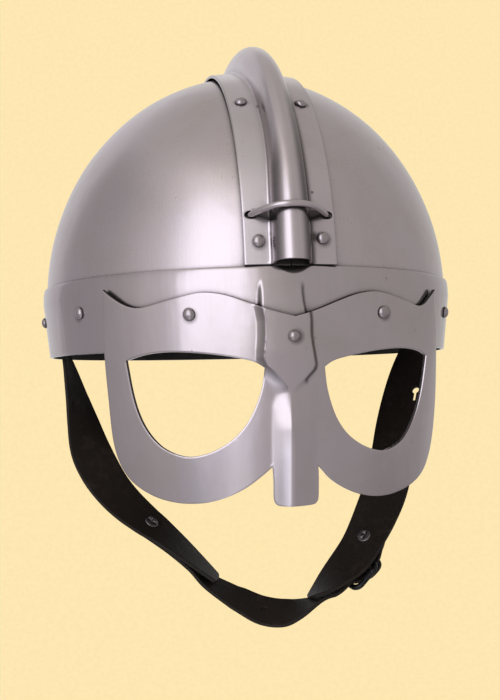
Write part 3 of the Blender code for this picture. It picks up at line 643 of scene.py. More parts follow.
# The panel raised at the root of the nose: height, its left foot and left top
# edge, its right top edge and right foot, and how far it is raised
noseOnBand = [
    (34.0, -15.6, -13.8, 3.0, 5.0, 0.0),
    (29.5, -15.6, -13.6, 2.9, 5.0, 0.0),
    (27.5, -15.7, -13.5, 2.9, 5.0, 0.6),
    (25.5, -15.8, -13.4, 2.9, 5.1, 1.3),
    (23.3, -15.8, -13.3, 2.9, 5.2, 1.9),
    (19.2, -15.8, -13.2, 3.4, 5.6, 2.4),
    (13.0, -15.6, -13.1, 4.7, 7.0, 2.6),
    (0.0, -15.4, -12.9, 6.0, 8.4, 2.7),
]
noseOnMask = [
    (33.0, -17.4, -14.5, 5.0, 7.6, 2.6),
    (17.5, -17.2, -13.6, 5.2, 7.8, 2.6),
    (13.0, -16.4, -12.6, 5.8, 8.4, 2.7),
    (11.0, -16.1, -12.3, 6.0, 8.6, 2.7),
    (4.8, -16.0, -12.2, 6.1, 8.8, 2.7),
    (0.7, -16.2, -12.5, 6.7, 9.4, 2.7),
    (-1.4, -16.4, -12.8, 7.1, 9.8, 2.7),
    (-4.7, -16.3, -12.9, 7.7, 10.4, 2.6),
    (-7.5, -15.4, -11.6, 8.2, 10.9, 2.4),
    (-9.6, -14.4, -9.0, 7.6, 10.4, 2.2),
    (-13.7, -12.4, -5.6, 3.9, 7.4, 1.9),
    (-17.0, -10.4, -3.0, 0.8, 4.6, 1.3),
    (-20.5, -8.6, -2.6, -1.6, 1.8, 0.6),
    (-24.0, -8.0, -2.6, -1.6, 1.8, 0.0),
]
nose = {
    "fold": 3.5, "foldFrom": -9.5, "foldOver": 26.0, "crestAt": -1.4,
    "leftWidth": 8.6, "leftAtTop": 5.6, "widensFrom": -14.0, "widensOver": 12.0,
    "rightWidth": 11.4, "round": 0.5, "footRound": 0.04, "blend": 0.5, "flank": 1.2,
}


def eased(t):
    t = min(max(t, 0), 1)
    return t * t * (3 - 2 * t)


def readRows(rows, z):
    if z >= rows[0][0]:
        return rows[0][1:]
    for upper, lower in zip(rows, rows[1:]):
        if z >= lower[0]:
            t = (upper[0] - z) / (upper[0] - lower[0])
            return [a + (b - a) * t for a, b in zip(upper[1:], lower[1:])]
    return rows[-1][1:]


def flank(t):
    # hollow at the foot, a crisp edge at the top
    if t <= 0:
        return 0.0
    crisp = eased((t - 0.9) / 0.2)
    return min(t ** nose["flank"], 1.0) * (1 - crisp) + crisp


def noseRelief(rows, x, z):
    leftFoot, leftTop, rightTop, rightFoot, rise = readRows(rows, z)
    panel = rise * flank((x - leftFoot) / (leftTop - leftFoot))
    panel *= flank((rightFoot - x) / (rightFoot - rightTop))
    if z > nose["foldFrom"]:
        return panel
    offCrest = x - nose["crestAt"]
    if offCrest < 0:
        widens = eased((nose["widensFrom"] - z) / nose["widensOver"])
        width = nose["leftAtTop"] + (nose["leftWidth"] - nose["leftAtTop"]) * widens
        v = max(1 + offCrest / width, -1)
        v = v + (eased(v) - v) * nose["round"]
    else:
        v = 1 - offCrest / nose["rightWidth"]
    fold = (v + sqrt(v * v + nose["footRound"] ** 2)) / 2 if v > -0.6 else 0.0
    fold *= nose["fold"] * eased((nose["foldFrom"] - z) / nose["foldOver"])
    gap = panel - fold
    blend = nose["blend"] * min((nose["foldFrom"] - z) / 3, 1)
    return (panel + fold + sqrt(gap * gap + blend ** 2) - blend) / 2


def plan(angle, halfWidth, halfLength):
    s, c = sin(angle), cos(angle)
    power = 2 / skull["planPower"]
    x = halfWidth * abs(s) ** power * (1 if s >= 0 else -1)
    y = -halfLength * abs(c) ** power * (1 if c >= 0 else -1)
    return x, y


def planFront(x, halfWidth, halfLength):
    power = skull["planPower"]
    u = min(abs(x) / halfWidth, 0.9999)
    v = (1 - u ** power) ** (1 / power)
    normal = Vector((u ** (power - 1) / halfWidth * (1 if x >= 0 else -1),
                     -v ** (power - 1) / halfLength, 0))
    return -halfLength * v, normal.normalized()


def skullScale(z):
    return sqrt(max(1 - ((z - skull["widestHeight"]) / skull["rise"]) ** 2, 0))


def bandSize(z):
    drop = band["taper"] * (band["shoulder"] - z)
    return band["halfWidth"] - drop, band["halfLength"] - drop


ridgeRows = [
    # up from the front, left and right foot, height
    (0, 8.7, 8.5, 9.8), (8, 8.7, 8.5, 9.8), (18, 8.1, 8.3, 10.2), (27, 7.1, 8.3, 10.8),
    (36, 6.6, 8.3, 11.4), (45, 6.6, 8.4, 12.0), (55, 7.2, 8.6, 12.6), (66, 8.4, 8.8, 13.1),
    (76, 8.8, 8.9, 13.2), (90, 8.8, 8.9, 13.2),
]


def ridgeSize(up):
    up = min(up, 180 - up)
    ups = [row[0] for row in ridgeRows]
    return [float(np.interp(up, ups, [row[n] for row in ridgeRows])) for n in (1, 2, 3)]


def ridgeFoot(side):
    # height and place of the ridge's foot on one side, from the crown down
    rows = []
    for up in (66, 55, 45, 36, 27, 18, 8, 0):
        left, right, _ = ridgeSize(up)
        z = skull["widestHeight"] + skull["rise"] * sin(radians(up))
        rows.append((z, -left if side < 0 else right))
    return rows


# where painted shade lies about the comb and where painted highlights brighten
# the steel, in mm across or up; a pair is the stretch over which it comes or goes
combShade = {
    "ridgeHalf": (7.2, 8.8), "plateEnd": (34.0, 35.6),
    "mouthAside": 0.6, "mouthLow": 30.7, "mouthBend": 0.06, "mouthSoft": 0.9,
    "mouthHalf": (7, 8.5),
    "stapleLow": 52.2, "stapleFrom": 7, "stapleSlope": 0.42, "stapleSoft": 1.3,
    "stapleTop": (58.5, 60), "stapleInner": (5.5, 7.2), "stapleOuter": (15.2, 17),
    "flangeEdge": (19.4, 20.0), "flangeEdgeShare": 0.3,
}
paintedSheen = {
    "crestAside": 1.3, "crest": (0.8, 3.4), "crestShare": 0.35,
    "besideAt": -6.0, "beside": (2.5, 4.5), "besideShare": 0.2, "foldTop": (-46, -32),
    "flange": (-9, -6.5), "flangeShare": 0.22, "flangeLowShare": 0.34,
    "flangeLow": (50, 110),
}


def shadeUnderComb(out, up, front):
    # painted shade: the skull is made black where the hollow ridge covers it
    return (1 - out.size().rise(*combShade["ridgeHalf"])) * up.rise(*combShade["plateEnd"])


def underMouth(out, up, front):
    # the shadow in front of the ridge's open end
    out = out - combShade["mouthAside"]
    low = combShade["mouthLow"] + out * out * combShade["mouthBend"]
    return ((up - low).rise(0, combShade["mouthSoft"]) * front
            * (1 - out.size().rise(*combShade["mouthHalf"])))


def shadeUnderStaple(out, up, front):
    # painted shadow between the staple, the flange and the ridge, and a darker strip
    # along the flange's outer edges
    out = out.size()
    low = combShade["stapleLow"] + (out - combShade["stapleFrom"]) * combShade["stapleSlope"]
    dark = (up - low).rise(0, combShade["stapleSoft"]) * (1 - up.rise(*combShade["stapleTop"]))
    dark = dark * out.rise(*combShade["stapleInner"]) * (1 - out.rise(*combShade["stapleOuter"]))
    return (dark * front).larger(out.rise(*combShade["flangeEdge"]) * combShade["flangeEdgeShare"])


def highlightOnFold(out, up):
    # painted highlight: the crest of the fold down the nose and its left face are
    # made brighter
    crest = 1 - (out - nose["crestAt"] + paintedSheen["crestAside"]).size().rise(*paintedSheen["crest"])
    beside = 1 - (out - paintedSheen["besideAt"]).size().rise(*paintedSheen["beside"])
    return ((crest * paintedSheen["crestShare"] + beside * paintedSheen["besideShare"])
            * (1 - up.rise(*paintedSheen["foldTop"])))


def highlightOnFlange(out, up):
    # painted light: so is the comb's left flange, which faces the light, most of
    # all low down
    low = 1 - up.rise(*paintedSheen["flangeLow"])
    return ((1 - out.rise(*paintedSheen["flange"]))
            * (paintedSheen["flangeShare"] + paintedSheen["flangeLowShare"] * low))


def rivetShadeAt(radius, amount, *places):
    return [(place, radius, amount) for place in places]


# painted shade round the rivets that show; on the comb, two small marks and two
# patches of painted shade by the ridge's foot
combMarksAndShade = [((-6.6, -87.0, -31.8), 1.9, 0.85), ((11.0, -114.0, -76.2), 1.0, 0.8),
             ((9.4, -118.9, -96.4), 4.2, 0.95), ((-7.6, -119.5, -95.0), 2.6, 0.6)]
combMarksAndShade += rivetShadeAt(4.5, 0.85, (-13.5, -119.6, -98.8), (14.5, -118.9, -97.4),
                     (-13.9, -82.6, -29.8), (14.7, -82.8, -30.0))
bandRivetShade = rivetShadeAt(4.6, 0.70, (-88.9, -61.7, -124.8), (89.6, -61.7, -126.2),
                    (-104.6, 1.9, -125.4), (105.2, 1.9, -127.3))
maskRivetShade = rivetShadeAt(4.4, 0.80, (0.4, -124.2, -139.0), (-42.9, -111.1, -129.0),
                    (43.7, -111.1, -129.0))


def edgeLine(rows, column):
    return [(row[0], row[column]) for row in rows]


# skull: painted black under the comb, as painted shade
skullSteel = polishedSteel("satin steel, skull", 0.27, lines=0.75, shade=0.94,
                           extraShade=shadeUnderComb)
# band: painted shade along the nose panel's edges and round its rivets, and the painted shadow
# in front of the ridge's mouth
bandSteel = polishedSteel(
    "satin steel, band", 0.13, wave=4.5, lines=0.6, shade=0.86,
    folds=[(edgeLine(noseOnBand[2:], 2), -2.9, -1.2, 0.2, 0.55, 3),
           (edgeLine(noseOnBand[2:], 3), -0.1, 1.1, 2.6, 0.72, 3)],
    marksAndShade=bandRivetShade, extraShade=underMouth)
# mask: painted shade along the nose panel's edges and round its rivets, and a painted
# highlight down the nose fold
maskSteel = polishedSteel(
    "satin steel, mask", 0.13, wave=4.5, lines=0.6, shade=0.86,
    folds=[(edgeLine(noseOnMask[1:12], 2), -4.9, -0.3, 0.5, 0.52, 1),
           (edgeLine(noseOnMask[1:11], 3), -0.1, 1.3, 3.0, 0.8, 1)],
    marksAndShade=maskRivetShade, worn=highlightOnFold)
leftFoot, rightFoot = ridgeFoot(-1), ridgeFoot(1)
# comb: painted shade along the ridge's feet, darkest on the right, away from the light,
# painted shadow under the staple, and a painted highlight on the left flange
combSteel = polishedSteel(
    "satin steel, comb", 0.20, False, shade=0.97, extraShade=shadeUnderStaple,
    folds=[(leftFoot[3:], -0.8, 0.7, 7.0, 0.74, 22),
           (leftFoot[1:], -0.8, 0.4, 2.2, 0.55, 12),
           (rightFoot[1:], -6.5, -2.2, 0.4, 0.9, 14),
           (rightFoot[1:], -2.6, 0.6, 3.0, 0.92, 14)],
    marksAndShade=combMarksAndShade, worn=highlightOnFlange)
# rivets and staple: strong painted shade from the occlusion darkens their edges and undersides
rivetSteel = polishedSteel("satin steel, rivets", 0.09, False, 0.3, grime=2.2, shade=0.65,
                           reach=3.2)
stapleSteel = polishedSteel("satin steel, staple", 0.17, False, 0.3, grime=2.0, shade=0.9,
                            reach=9.0)
dullSteel = polishedSteel("dull steel, split rivets", 0.46, False, 0.3, shade=0.34)
print("finishes made")


# skull halves, under the comb they meet in a narrow seam

def skullHalf(name, side, node):
    turns, rises = skull["turns"], skull["rises"]
    low = atan2((skull["rimHeight"] - skull["widestHeight"]) / skull["rise"],
                skullScale(skull["rimHeight"]))
    verts = []
    for depth in (0.0, skull["sheet"]):
        for j in range(rises + 1):
            up = low + (pi / 2 - low) * j / rises
            for i in range(turns + 1):
                x, y = plan(pi * i / turns, skull["halfWidth"] - depth,
                            skull["halfLength"] - depth)
                point = Vector((side * x * cos(up), y * cos(up),
                                skull["widestHeight"] + (skull["rise"] - depth) * sin(up)))
                dent = noise.noise(point * skull["dents"])
                dent += skull["smallShare"] * noise.noise(point * skull["smallDents"])
                keep = eased((point.z - skull["hammerFrom"]) / skull["hammerOver"])
                dent += skull["leastDent"]
                point -= point.normalized() * skull["hammer"] * dent * keep
                point.x = side * max(abs(point.x), skull["seamGap"] / 2)
                verts.append(point)
    count = (rises + 1) * (turns + 1)

    def at(layer, j, i):
        return layer * count + j * (turns + 1) + i

    faces, dark = [], []
    for j in range(rises):
        for i in range(turns):
            faces.append((at(0, j, i), at(0, j, i + 1), at(0, j + 1, i + 1), at(0, j + 1, i)))
            dark.append(len(faces))
            faces.append((at(1, j, i), at(1, j + 1, i), at(1, j + 1, i + 1), at(1, j, i + 1)))
    for i in range(turns):
        faces.append((at(0, 0, i), at(1, 0, i), at(1, 0, i + 1), at(0, 0, i + 1)))
    for j in range(rises):
        for i in (0, turns):
            faces.append((at(0, j, i), at(0, j + 1, i), at(1, j + 1, i), at(1, j, i)))
    finishPiece(name, (verts, faces), [skullSteel, insideSteel], [node], inside=dark)


skullHalf("skullLeft", -1, "bowl_left")
skullHalf("skullRight", 1, "bowl_right")
print("skull halves made")


# brow band

def bandSection(xFront, angle):
    # once round the sheet, at an x in front or at an angle; and how much is outside
    def at(size, z, relief=0.0):
        if xFront is None:
            x, y = plan(angle, *size)
            return Vector((x, y, z))
        y, normal = planFront(xFront, *size)
        return Vector((xFront, y, z)) + normal * relief

    def panel(z):
        if xFront is None:
            return 0.0
        return max(noseRelief(noseOnBand, xFront, max(z, 0.0)) - band["nest"], 0)

    def bowlSize(z):
        scale = skullScale(z)
        return (skull["halfWidth"] * scale + band["clearOfBowl"],
                skull["halfLength"] * scale + band["clearOfBowl"])

    def lowerLip(inward, z, relief):
        return at([s - inward for s in bandSize(0)], z, relief)

    height, shoulder, edge = band["height"], band["shoulder"], band["edge"]
    top, side = bowlSize(height), bandSize(shoulder)
    outer = [lowerLip(inward, z, panel(0)) for inward, z in band["lowerEdge"]]
    outer += [at(bandSize(z), float(z), panel(float(z)))
              for z in np.linspace(0.4, shoulder, 27)]
    for turn in np.linspace(6, 76, 12):
        z = shoulder + (height - shoulder) * sin(radians(turn))
        keep = cos(radians(turn)) ** 0.8
        size = [t + edge + (s - t - edge) * keep for s, t in zip(side, top)]
        outer.append(at(size, z, panel(z) * keep))
    outer += [at([t + edge * share for t in top], height - drop)
              for share, drop in band["topEdge"]]
    inner = [at(bowlSize(z), z) for z in (height - 0.4, 30.0)]
    inner += [at([max(s - band["sheet"], b) for s, b in zip(bandSize(z), bowlSize(max(z, 5)))],
                 z) for z in (shoulder, 20.0, 13.0, 5.0, 0.15)]
    inner.append(lowerLip(band["sheet"] - band["lowerEdge"][0][0], 0.0, 0.0))
    return outer + inner, len(outer)


def browBand():
    # sections set by x across the nose panel, and by angle all the way round behind
    edge = band["panelHalf"]
    fronts = np.arange(-edge, edge + 0.01, 0.5)
    power = skull["planPower"] / 2
    y, _ = planFront(edge, band["halfWidth"], band["halfLength"])
    first = atan2((edge / band["halfWidth"]) ** power, (-y / band["halfLength"]) ** power)
    steps = band["turns"]
    sections = [bandSection(float(x), None)[0] for x in fronts]
    sections += [bandSection(None, first + (2 * pi - 2 * first) * i / steps)[0]
                 for i in range(1, steps)]
    outerCount = bandSection(0.0, None)[1]
    verts, faces = skinRings(sections, True)
    count = len(sections[0])
    dark = [n for n in range(len(faces)) if outerCount <= n % count < count - 2]
    finishPiece("browBand", (verts, faces), [bandSteel, insideSteel], ["brow_band"],
                inside=dark)


browBand()
print("brow band made")


# spectacle mask

mask = {
    "sheet": 1.8, "edge": 0.32, "noseHalf": 20.0, "half": 79.0, "low": -67.4,
    "high": 28.0, "noseCell": 0.4, "cell": 1.25, "cellHigh": 0.75, "blackTip": (62, 16),
    "tipLift": 0.5, "tipLiftFrom": (61, 12), "tipLiftOver": (16, 14),
    "cheekSlip": 1.35, "rightSlip": 0.5, "noseSlip": 1.15, "holeSlip": 0.6,
    "rightTip": 3.4, "rightTipDrop": 1.3,
}
maskEdge = [
    # x, z, and 1 at a corner
    (0.0, 12.8), (10.0, 15.6), (20.0, 19.4), (29.5, 22.6), (38.0, 23.8),
    (46.0, 22.8), (55.0, 20.6), (63.5, 18.8), (69.5, 20.4), (75.0, 24.6),
    (78.3, 28.0, 1), (78.6, 14.0), (78.4, -2.0), (78.1, -15.0), (77.4, -29.0),
    (76.0, -41.0), (73.6, -49.5), (70.0, -56.0), (65.5, -60.3),
    (59.0, -63.8), (52.0, -65.8), (45.0, -66.6), (37.0, -66.1),
    (29.5, -64.1), (22.5, -60.9), (16.5, -56.9), (10.1, -50.9, 1),
    (10.0, -58.0), (9.9, -64.4), (9.0, -66.8), (6.8, -67.7), (0.0, -67.9),
]
eyeHole = [
    # x, z, and 1 at a corner
    (13.2, -8.6, 1), (17.5, -6.0), (25.0, -4.1), (35.0, -2.4), (46.0, -1.2),
    (55.0, -0.9), (63.0, -1.8), (69.8, -4.0, 1), (69.0, -9.0), (67.7, -16.5),
    (65.6, -24.5), (62.5, -32.0), (58.3, -38.4), (53.0, -43.2),
    (45.5, -46.0), (38.5, -45.4), (31.5, -42.6), (25.0, -38.0),
    (20.0, -31.8), (16.5, -24.4), (14.2, -16.5),
]


def maskPlace(x, z, depth):
    out = clear + mask["sheet"]
    halfWidth, halfLength = bandSize(z)
    front, normal = planFront(x, halfWidth + out, halfLength + out)
    (fromX, fromZ), (overX, overZ) = mask["tipLiftFrom"], mask["tipLiftOver"]
    lift = mask["tipLift"] * eased((abs(x) - fromX) / overX) * eased((z - fromZ) / overZ)
    return Vector((x, front, z)) + normal * (noseRelief(noseOnMask, x, z) + lift - depth)


def slipOutline(p):
    # the guard was riveted on a little askew: cheeks and nasal lean to +X
    outer = eased((abs(p.x) - 48) / 20) * eased((8 - p.y) / 38)
    move = mask["cheekSlip"] * outer
    move += mask["noseSlip"] * eased((-38 - p.y) / 20) * (1 - eased((abs(p.x) - 9) / 8))
    drop = 0.0
    if p.x > 0:
        tip = eased((p.x - 58) / 18) * eased((p.y - 6) / 20)
        move += mask["rightSlip"] * outer - mask["rightTip"] * tip
        drop = mask["rightTipDrop"] * tip
    return Vector((p.x + move, p.y - drop))


def slipHole(p):
    return Vector((p.x + mask["holeSlip"] * eased((p.y + 42) / 30), p.y))


def spectacleMask():
    half = smoothLine(maskEdge, 4) + [Vector(maskEdge[-1][:2])]
    outline = half + [Vector((-p.x, p.y)) for p in reversed(half[1:-1])]
    hole = smoothLine(eyeHole + eyeHole[:1], 4)
    holes = [hole, [Vector((-p.x, p.y)) for p in hole]]
    outline = evenLoop([slipOutline(p) for p in outline], 1.0)
    holes = [evenLoop([slipHole(p) for p in h], 1.0) for h in holes]
    near = np.arange(-mask["noseHalf"], mask["noseHalf"] + 0.01, mask["noseCell"])
    side = np.arange(mask["noseHalf"] + 1, mask["half"], mask["cell"])
    xs = list(-side[::-1]) + list(near) + list(side)
    zs = np.arange(mask["low"], mask["high"], mask["cellHigh"])
    shape, back = sheet(outline, holes, xs, zs, mask["sheet"], mask["edge"], maskPlace)
    verts, faces = shape
    # painted shade: the cut edge at the two tips gets the dark inside finish
    ringCount, start = len(outline), 2 * len(back)
    tipX, tipZ = mask["blackTip"]
    tips = []
    for n in range(start + ringCount, start + (2 * len(rounding) - 1) * ringCount):
        middle = sum((verts[i] for i in faces[n]), Vector()) / len(faces[n])
        if abs(middle.x) > tipX and middle.z > tipZ:
            tips.append(n)
    finishPiece("spectacleMask", shape, [maskSteel, insideSteel], ["spectacle_mask"],
                inside=[*back, *tips])


spectacleMask()
print("spectacle mask made")


# comb plate with its hollow ridge

comb = {
    "halfWidth": 20.2, "sheet": 1.5, "endHeight": 35.0, "edge": 0.3, "sideRadius": 95.0,
    "stapleHeight": 56.5, "stapleHalfSpan": 16.8, "wire": 1.38, "arch": 2.3,
    "wireFoot": -0.9, "holeLong": 2.5, "holeHigh": 1.85, "sideCurve": 0.6,
    "ridgeCut": 0.9, "cutFromHeight": 6, "cutReach": 14,
}
ridgeBase = {
    "foot": 8.4, "height": 11.0, "power": 0.94, "flangeFrom": 9.6,
    "hollow": ((8.46, 0.72), (8.62, 0.42), (8.88, 0.2), (9.2, 0.06)),
    "flange": (9.6, 11.5, 14.5, 17.5, comb["halfWidth"]),
}


def combFrame(up):
    a = radians(up)
    point = Vector((0, -skull["halfLength"] * cos(a),
                    skull["widestHeight"] + skull["rise"] * sin(a)))
    out = Vector((0, -cos(a) / skull["halfLength"], sin(a) / skull["rise"])).normalized()
    return point, out


def combUp(z):
    return degrees(asin((z - skull["widestHeight"]) / skull["rise"]))


def flangeDrop(x):
    x = min(abs(x), comb["halfWidth"] + 1)
    return comb["sideCurve"] * (comb["sideRadius"] - sqrt(comb["sideRadius"] ** 2 - x ** 2))


def ridgeLine():
    # half the plate's section as rows of (run, x, height, outward x, outward height)
    foot, height, power = ridgeBase["foot"], ridgeBase["height"], ridgeBase["power"]
    points = [Vector((foot * sin(radians(t)) ** power, height * cos(radians(t)) ** power))
              for t in np.linspace(0, 85, 26)]
    points += [Vector(p) for p in ridgeBase["hollow"]]
    points += [Vector((x, 0.0)) for x in ridgeBase["flange"]]
    line, run = [], 0.0
    for i, point in enumerate(points):
        if i:
            run += (point - points[i - 1]).length
        along = points[min(i + 1, len(points) - 1)] - points[max(i - 1, 0)]
        along = along.normalized() if i else Vector((1, 0))
        line.append((run, point.x, point.y, -along.y, along.x))
    return line


ridge = ridgeLine()
ridgeRuns = [row[0] for row in ridge]


def readRidge(u):
    run = min(abs(u), ridgeRuns[-1])
    i = min(max(bisect.bisect_left(ridgeRuns, run), 1), len(ridge) - 1)
    a, b = ridge[i - 1], ridge[i]
    t = (run - a[0]) / (b[0] - a[0])
    x, h, outX, outH = [p + (q - p) * t for p, q in zip(a[1:], b[1:])]
    side = 1 if u >= 0 else -1
    return side * x, h, side * outX, outH


def arcTable():
    first = combUp(comb["endHeight"])
    ups = np.linspace(first, 180 - first, 400)
    spots = [combFrame(u)[0] + combFrame(u)[1] * 2 for u in ups]
    return ups, runsOf(spots)


combUps, combRuns = arcTable()


def combPlace(u, v, depth):
    x, h, outX, outH = readRidge(u)
    up = float(np.interp(v, combRuns, combUps))
    left, right, height = ridgeSize(up)
    wide = (left if x < 0 else right) / ridgeBase["foot"]
    tall = height / ridgeBase["height"]
    # the ridge is cut off a little above the flange's end
    cut = comb["ridgeCut"] * eased(h / comb["cutFromHeight"])
    cut *= eased(1 - min(v, combRuns[-1] - v) / comb["cutReach"])
    if cut:
        up += degrees(cut / skull["halfLength"]) * (1 if up < 90 else -1)
    point, out = combFrame(up)
    flangeFrom, half = ridgeBase["flangeFrom"], comb["halfWidth"]
    if abs(x) <= flangeFrom:
        x *= wide
        outward = Vector((outX / wide, outH / tall)).normalized()
        outX, outH = outward
    else:
        share = (abs(x) - flangeFrom) / (half - flangeFrom)
        x = (flangeFrom * wide * (1 - share) + half * share) * (1 if x > 0 else -1)
    base = clear + comb["sheet"] - flangeDrop(x)
    return point + Vector((x - outX * depth, 0, 0)) + out * (base + h * tall - outH * depth)


def combPlate():
    half, length = ridgeRuns[-1], float(combRuns[-1])
    outline = boxLoop(-half, 0, half, length, 1.4)
    vStaple = float(np.interp(combUp(comb["stapleHeight"]), combUps, combRuns))
    flat = half - (comb["halfWidth"] - comb["stapleHalfSpan"])
    holes = [ovalLoop(side * flat, vStaple, comb["holeLong"], comb["holeHigh"], 28)
             for side in (-1, 1)]
    us = sorted(set([r[0] for r in ridge[1:-1]] + [-r[0] for r in ridge[1:-1]] + [0.0]))
    us = [u for i, u in enumerate(us) if i == 0 or u - us[i - 1] > 0.12]
    vs = np.arange(1.5, length - 1, 1.9)
    shape, back = sheet(outline, holes, us, vs, comb["sheet"], comb["edge"], combPlace)
    finishPiece("combPlate", shape, [combSteel, insideSteel], ["comb_plate"], inside=back)


def combFlat(up, x, height):
    point, out = combFrame(up)
    base = clear + comb["sheet"] - flangeDrop(x)
    return point + Vector((x, 0, 0)) + out * (base + height)


def combStaple():
    up = combUp(comb["stapleHeight"])
    wire = comb["wire"]
    over = ridgeSize(up)[2] + clear + wire
    foot = comb["wireFoot"]
    points = []
    for t in np.linspace(-90, 90, 61):
        x = comb["stapleHalfSpan"] * sin(radians(t))
        rise = 1 - abs(sin(radians(t))) ** comb["arch"]
        points.append(combFlat(up, float(x), foot + (over - foot) * rise))
    finishPiece("combStaple", tube(points, wire, 20), [stapleSteel], ["comb_staple"])


combPlate()
combStaple()
print("comb made")


# rivets

rivet = {
    "radius": 3.0, "dome": 2.0, "full": 0.92, "sides": 28, "sunk": 0.2,
    "oval": 0.02, "uneven": 0.012,
    "combOut": 14.0, "combSize": 0.92, "noseAskew": -0.65, "maskEndsAt": 45,
}
combPairs = [
    # up from the front, on the left and right
    (7.8, 8.4), (46.5, 46.3), (88.0, 88.0), (133.0, 133.0), (171.6, 171.6),
]
bandPairs = [
    # turn from the front and height, each on the left and right, then size
    ("nose", 0.0, 0.0, 4.8, 4.8, 0.82), ("brow", 24.6, 24.0, 14.8, 14.8, 0.94),
    ("temple", 57.6, 58.6, 19.0, 17.6, 0.92), ("ear", 91.0, 91.0, 18.4, 16.5, 0.9),
    ("rear", 124.0, 124.0, 16.5, 16.5, 1.0), ("back", 157.0, 157.0, 16.5, 16.5, 1.0),
]


def rivetHead(name, node, point, out, lift, turn=0.0, size=1.0):
    # a low dome, never quite round; turn varies how
    profile = [(0.97, 0.0), (1.0, 0.05)]
    profile += [(cos(radians(t)) ** rivet["full"], sin(radians(t)))
                for t in np.linspace(10, 82, 9)]
    axis = Vector((0, 0, 1)).rotation_difference(out.normalized()).to_matrix()
    rings = []
    for radius, height in profile:
        ring = []
        for k in range(rivet["sides"]):
            a = 2 * pi * k / rivet["sides"]
            wobble = (1 + rivet["oval"] * sin(2 * a + turn)
                      + rivet["uneven"] * sin(3 * a + 2 * turn))
            r = rivet["radius"] * radius * wobble * size
            ring.append(point + axis @ Vector((r * cos(a), r * sin(a),
                                               rivet["dome"] * height + lift)))
        rings.append(ring)
    finishPiece(name, skinRings(rings, False), [rivetSteel], [node], sharp=50)


def combRivets():
    for n, ups in enumerate(combPairs):
        for side, word, up in ((-1, "Left", ups[0]), (1, "Right", ups[1])):
            x = side * rivet["combOut"]
            across = (combFlat(up, x + 1, 0) - combFlat(up, x - 1, 0)).normalized()
            out = combFrame(up)[1]
            out = (out - across * out.dot(across)).normalized()
            rivetHead(f"combRivet{n + 1}{word}", f"comb_rivet_{n + 1}_{word.lower()}",
                      combFlat(up, x, 0), out, clear - rivet["sunk"], n * 1.7 + side,
                      rivet["combSize"])


def bandRivets():
    power = skull["planPower"] - 1
    for word, turnLeft, turnRight, zLeft, zRight, size in bandPairs:
        hands = ((-1, "Left", turnLeft, zLeft), (1, "Right", turnRight, zRight))
        for side, hand, turn, z in hands if turnLeft else ((1, "Mid", 0.0, zLeft),):
            halfWidth, halfLength = bandSize(z)
            out = 0.0 if turn > rivet["maskEndsAt"] else clear + mask["sheet"]
            x, y = plan(radians(turn), halfWidth + out, halfLength + out)
            u, v = abs(x) / halfWidth, abs(y) / halfLength
            normal = Vector((side * u ** power / halfWidth,
                             (-1 if y < 0 else 1) * v ** power / halfLength, 0))
            normal = normal.normalized() - Vector((0, 0, band["taper"]))
            relief = noseRelief(noseOnMask, 0.0, z) if not turn else 0.0
            askew = 0.0 if turn else rivet["noseAskew"]
            rivetHead(f"bandRivet{word.title()}{hand}", f"band_rivet_{word}_{hand.lower()}",
                      Vector((side * x + askew, y, z)), normal,
                      relief + clear - rivet["sunk"], turn + side, size)


combRivets()
bandRivets()
print("rivets made")


# chin strap

strap = {
    "width": 22.5, "tongueWidth": 17.0, "leather": 1.8, "edge": 0.45, "blunt": 1.4,
    "pointed": 6.0, "splitLeft": 124.0, "splitRight": 136.0,
    "keyholeAt": (47.5, -7.4), "keyholeLong": 6.5,
    "keyholeLeft": (1.0, 0.35), "keyholeRight": (2.0, 0.7),     # radius, half of the slit
    "holeRadius": 1.6, "prongHole": (3.57, 1.7), "plugAt": -52, "plugThick": 0.9,
}
buckle = {
    "wire": 1.4, "length": 15.5, "width": 22.0, "corner": 3.5, "heelAt": 143.5,
    "heelOut": 4.6, "freeOut": 6.2, "liesAt": 155.0, "freeFrom": 130.0,
    "stiffFrom": 139.0, "stiffPast": 2.0, "fadesOver": 4.0, "prong": 0.9,
}
tab = {
    "length": 14.5, "width": 16.0, "leather": 1.4, "edge": 0.3, "roomForWire": 0.5,
    "layersApart": 0.25, "overlap": 7, "slotHalf": 1.6, "slotFrom": 2.0,
}
# where the middle of each strap runs, and how far its width is turned
leftRows = [
    (-98.2, 0.0, 23.0, 1), (-97.2, 0.0, 12.0, 2), (-95.0, 0.0, 2.0, 7),
    (-92.0, -1.0, -9.6, 17), (-89.3, -4.0, -21.0, 28), (-86.4, -8.0, -34.4, 44),
    (-83.3, -13.0, -47.6, 61), (-79.0, -17.0, -57.6, 61), (-73.6, -21.0, -66.2, 53),
    (-66.4, -25.0, -74.4, 45), (-57.7, -29.0, -82.0, 36), (-49.3, -32.0, -88.4, 28),
    (-38.1, -35.0, -98.0, 19), (-23.2, -38.8, -111.6, 6),
]
rightRows = [
    (97.8, 0.0, 23.0, -2), (96.4, 0.0, 12.0, -6), (93.6, -1.5, 2.0, -20),
    (90.2, -4.0, -8.0, -34), (84.6, -8.5, -21.4, -42), (78.2, -16.5, -37.4, -52),
    (72.4, -26.0, -53.4, -66), (65.4, -35.0, -69.6, -64), (57.4, -41.5, -83.0, -51),
    (49.8, -46.0, -94.0, -38), (42.6, -49.0, -102.7, -33), (33.2, -51.2, -110.5, -17),
    (27.4, -52.2, -114.9, -5), (19.8, -53.0, -120.2, 14),
]
tongueFree = [
    (-17.8, -42.6, -118.4, 29), (-12.8, -44.4, -121.1, 35), (-3.2, -47.8, -125.8, 42),
    (6.0, -50.6, -127.2, 36), (13.4, -52.6, -125.4, 17),
]
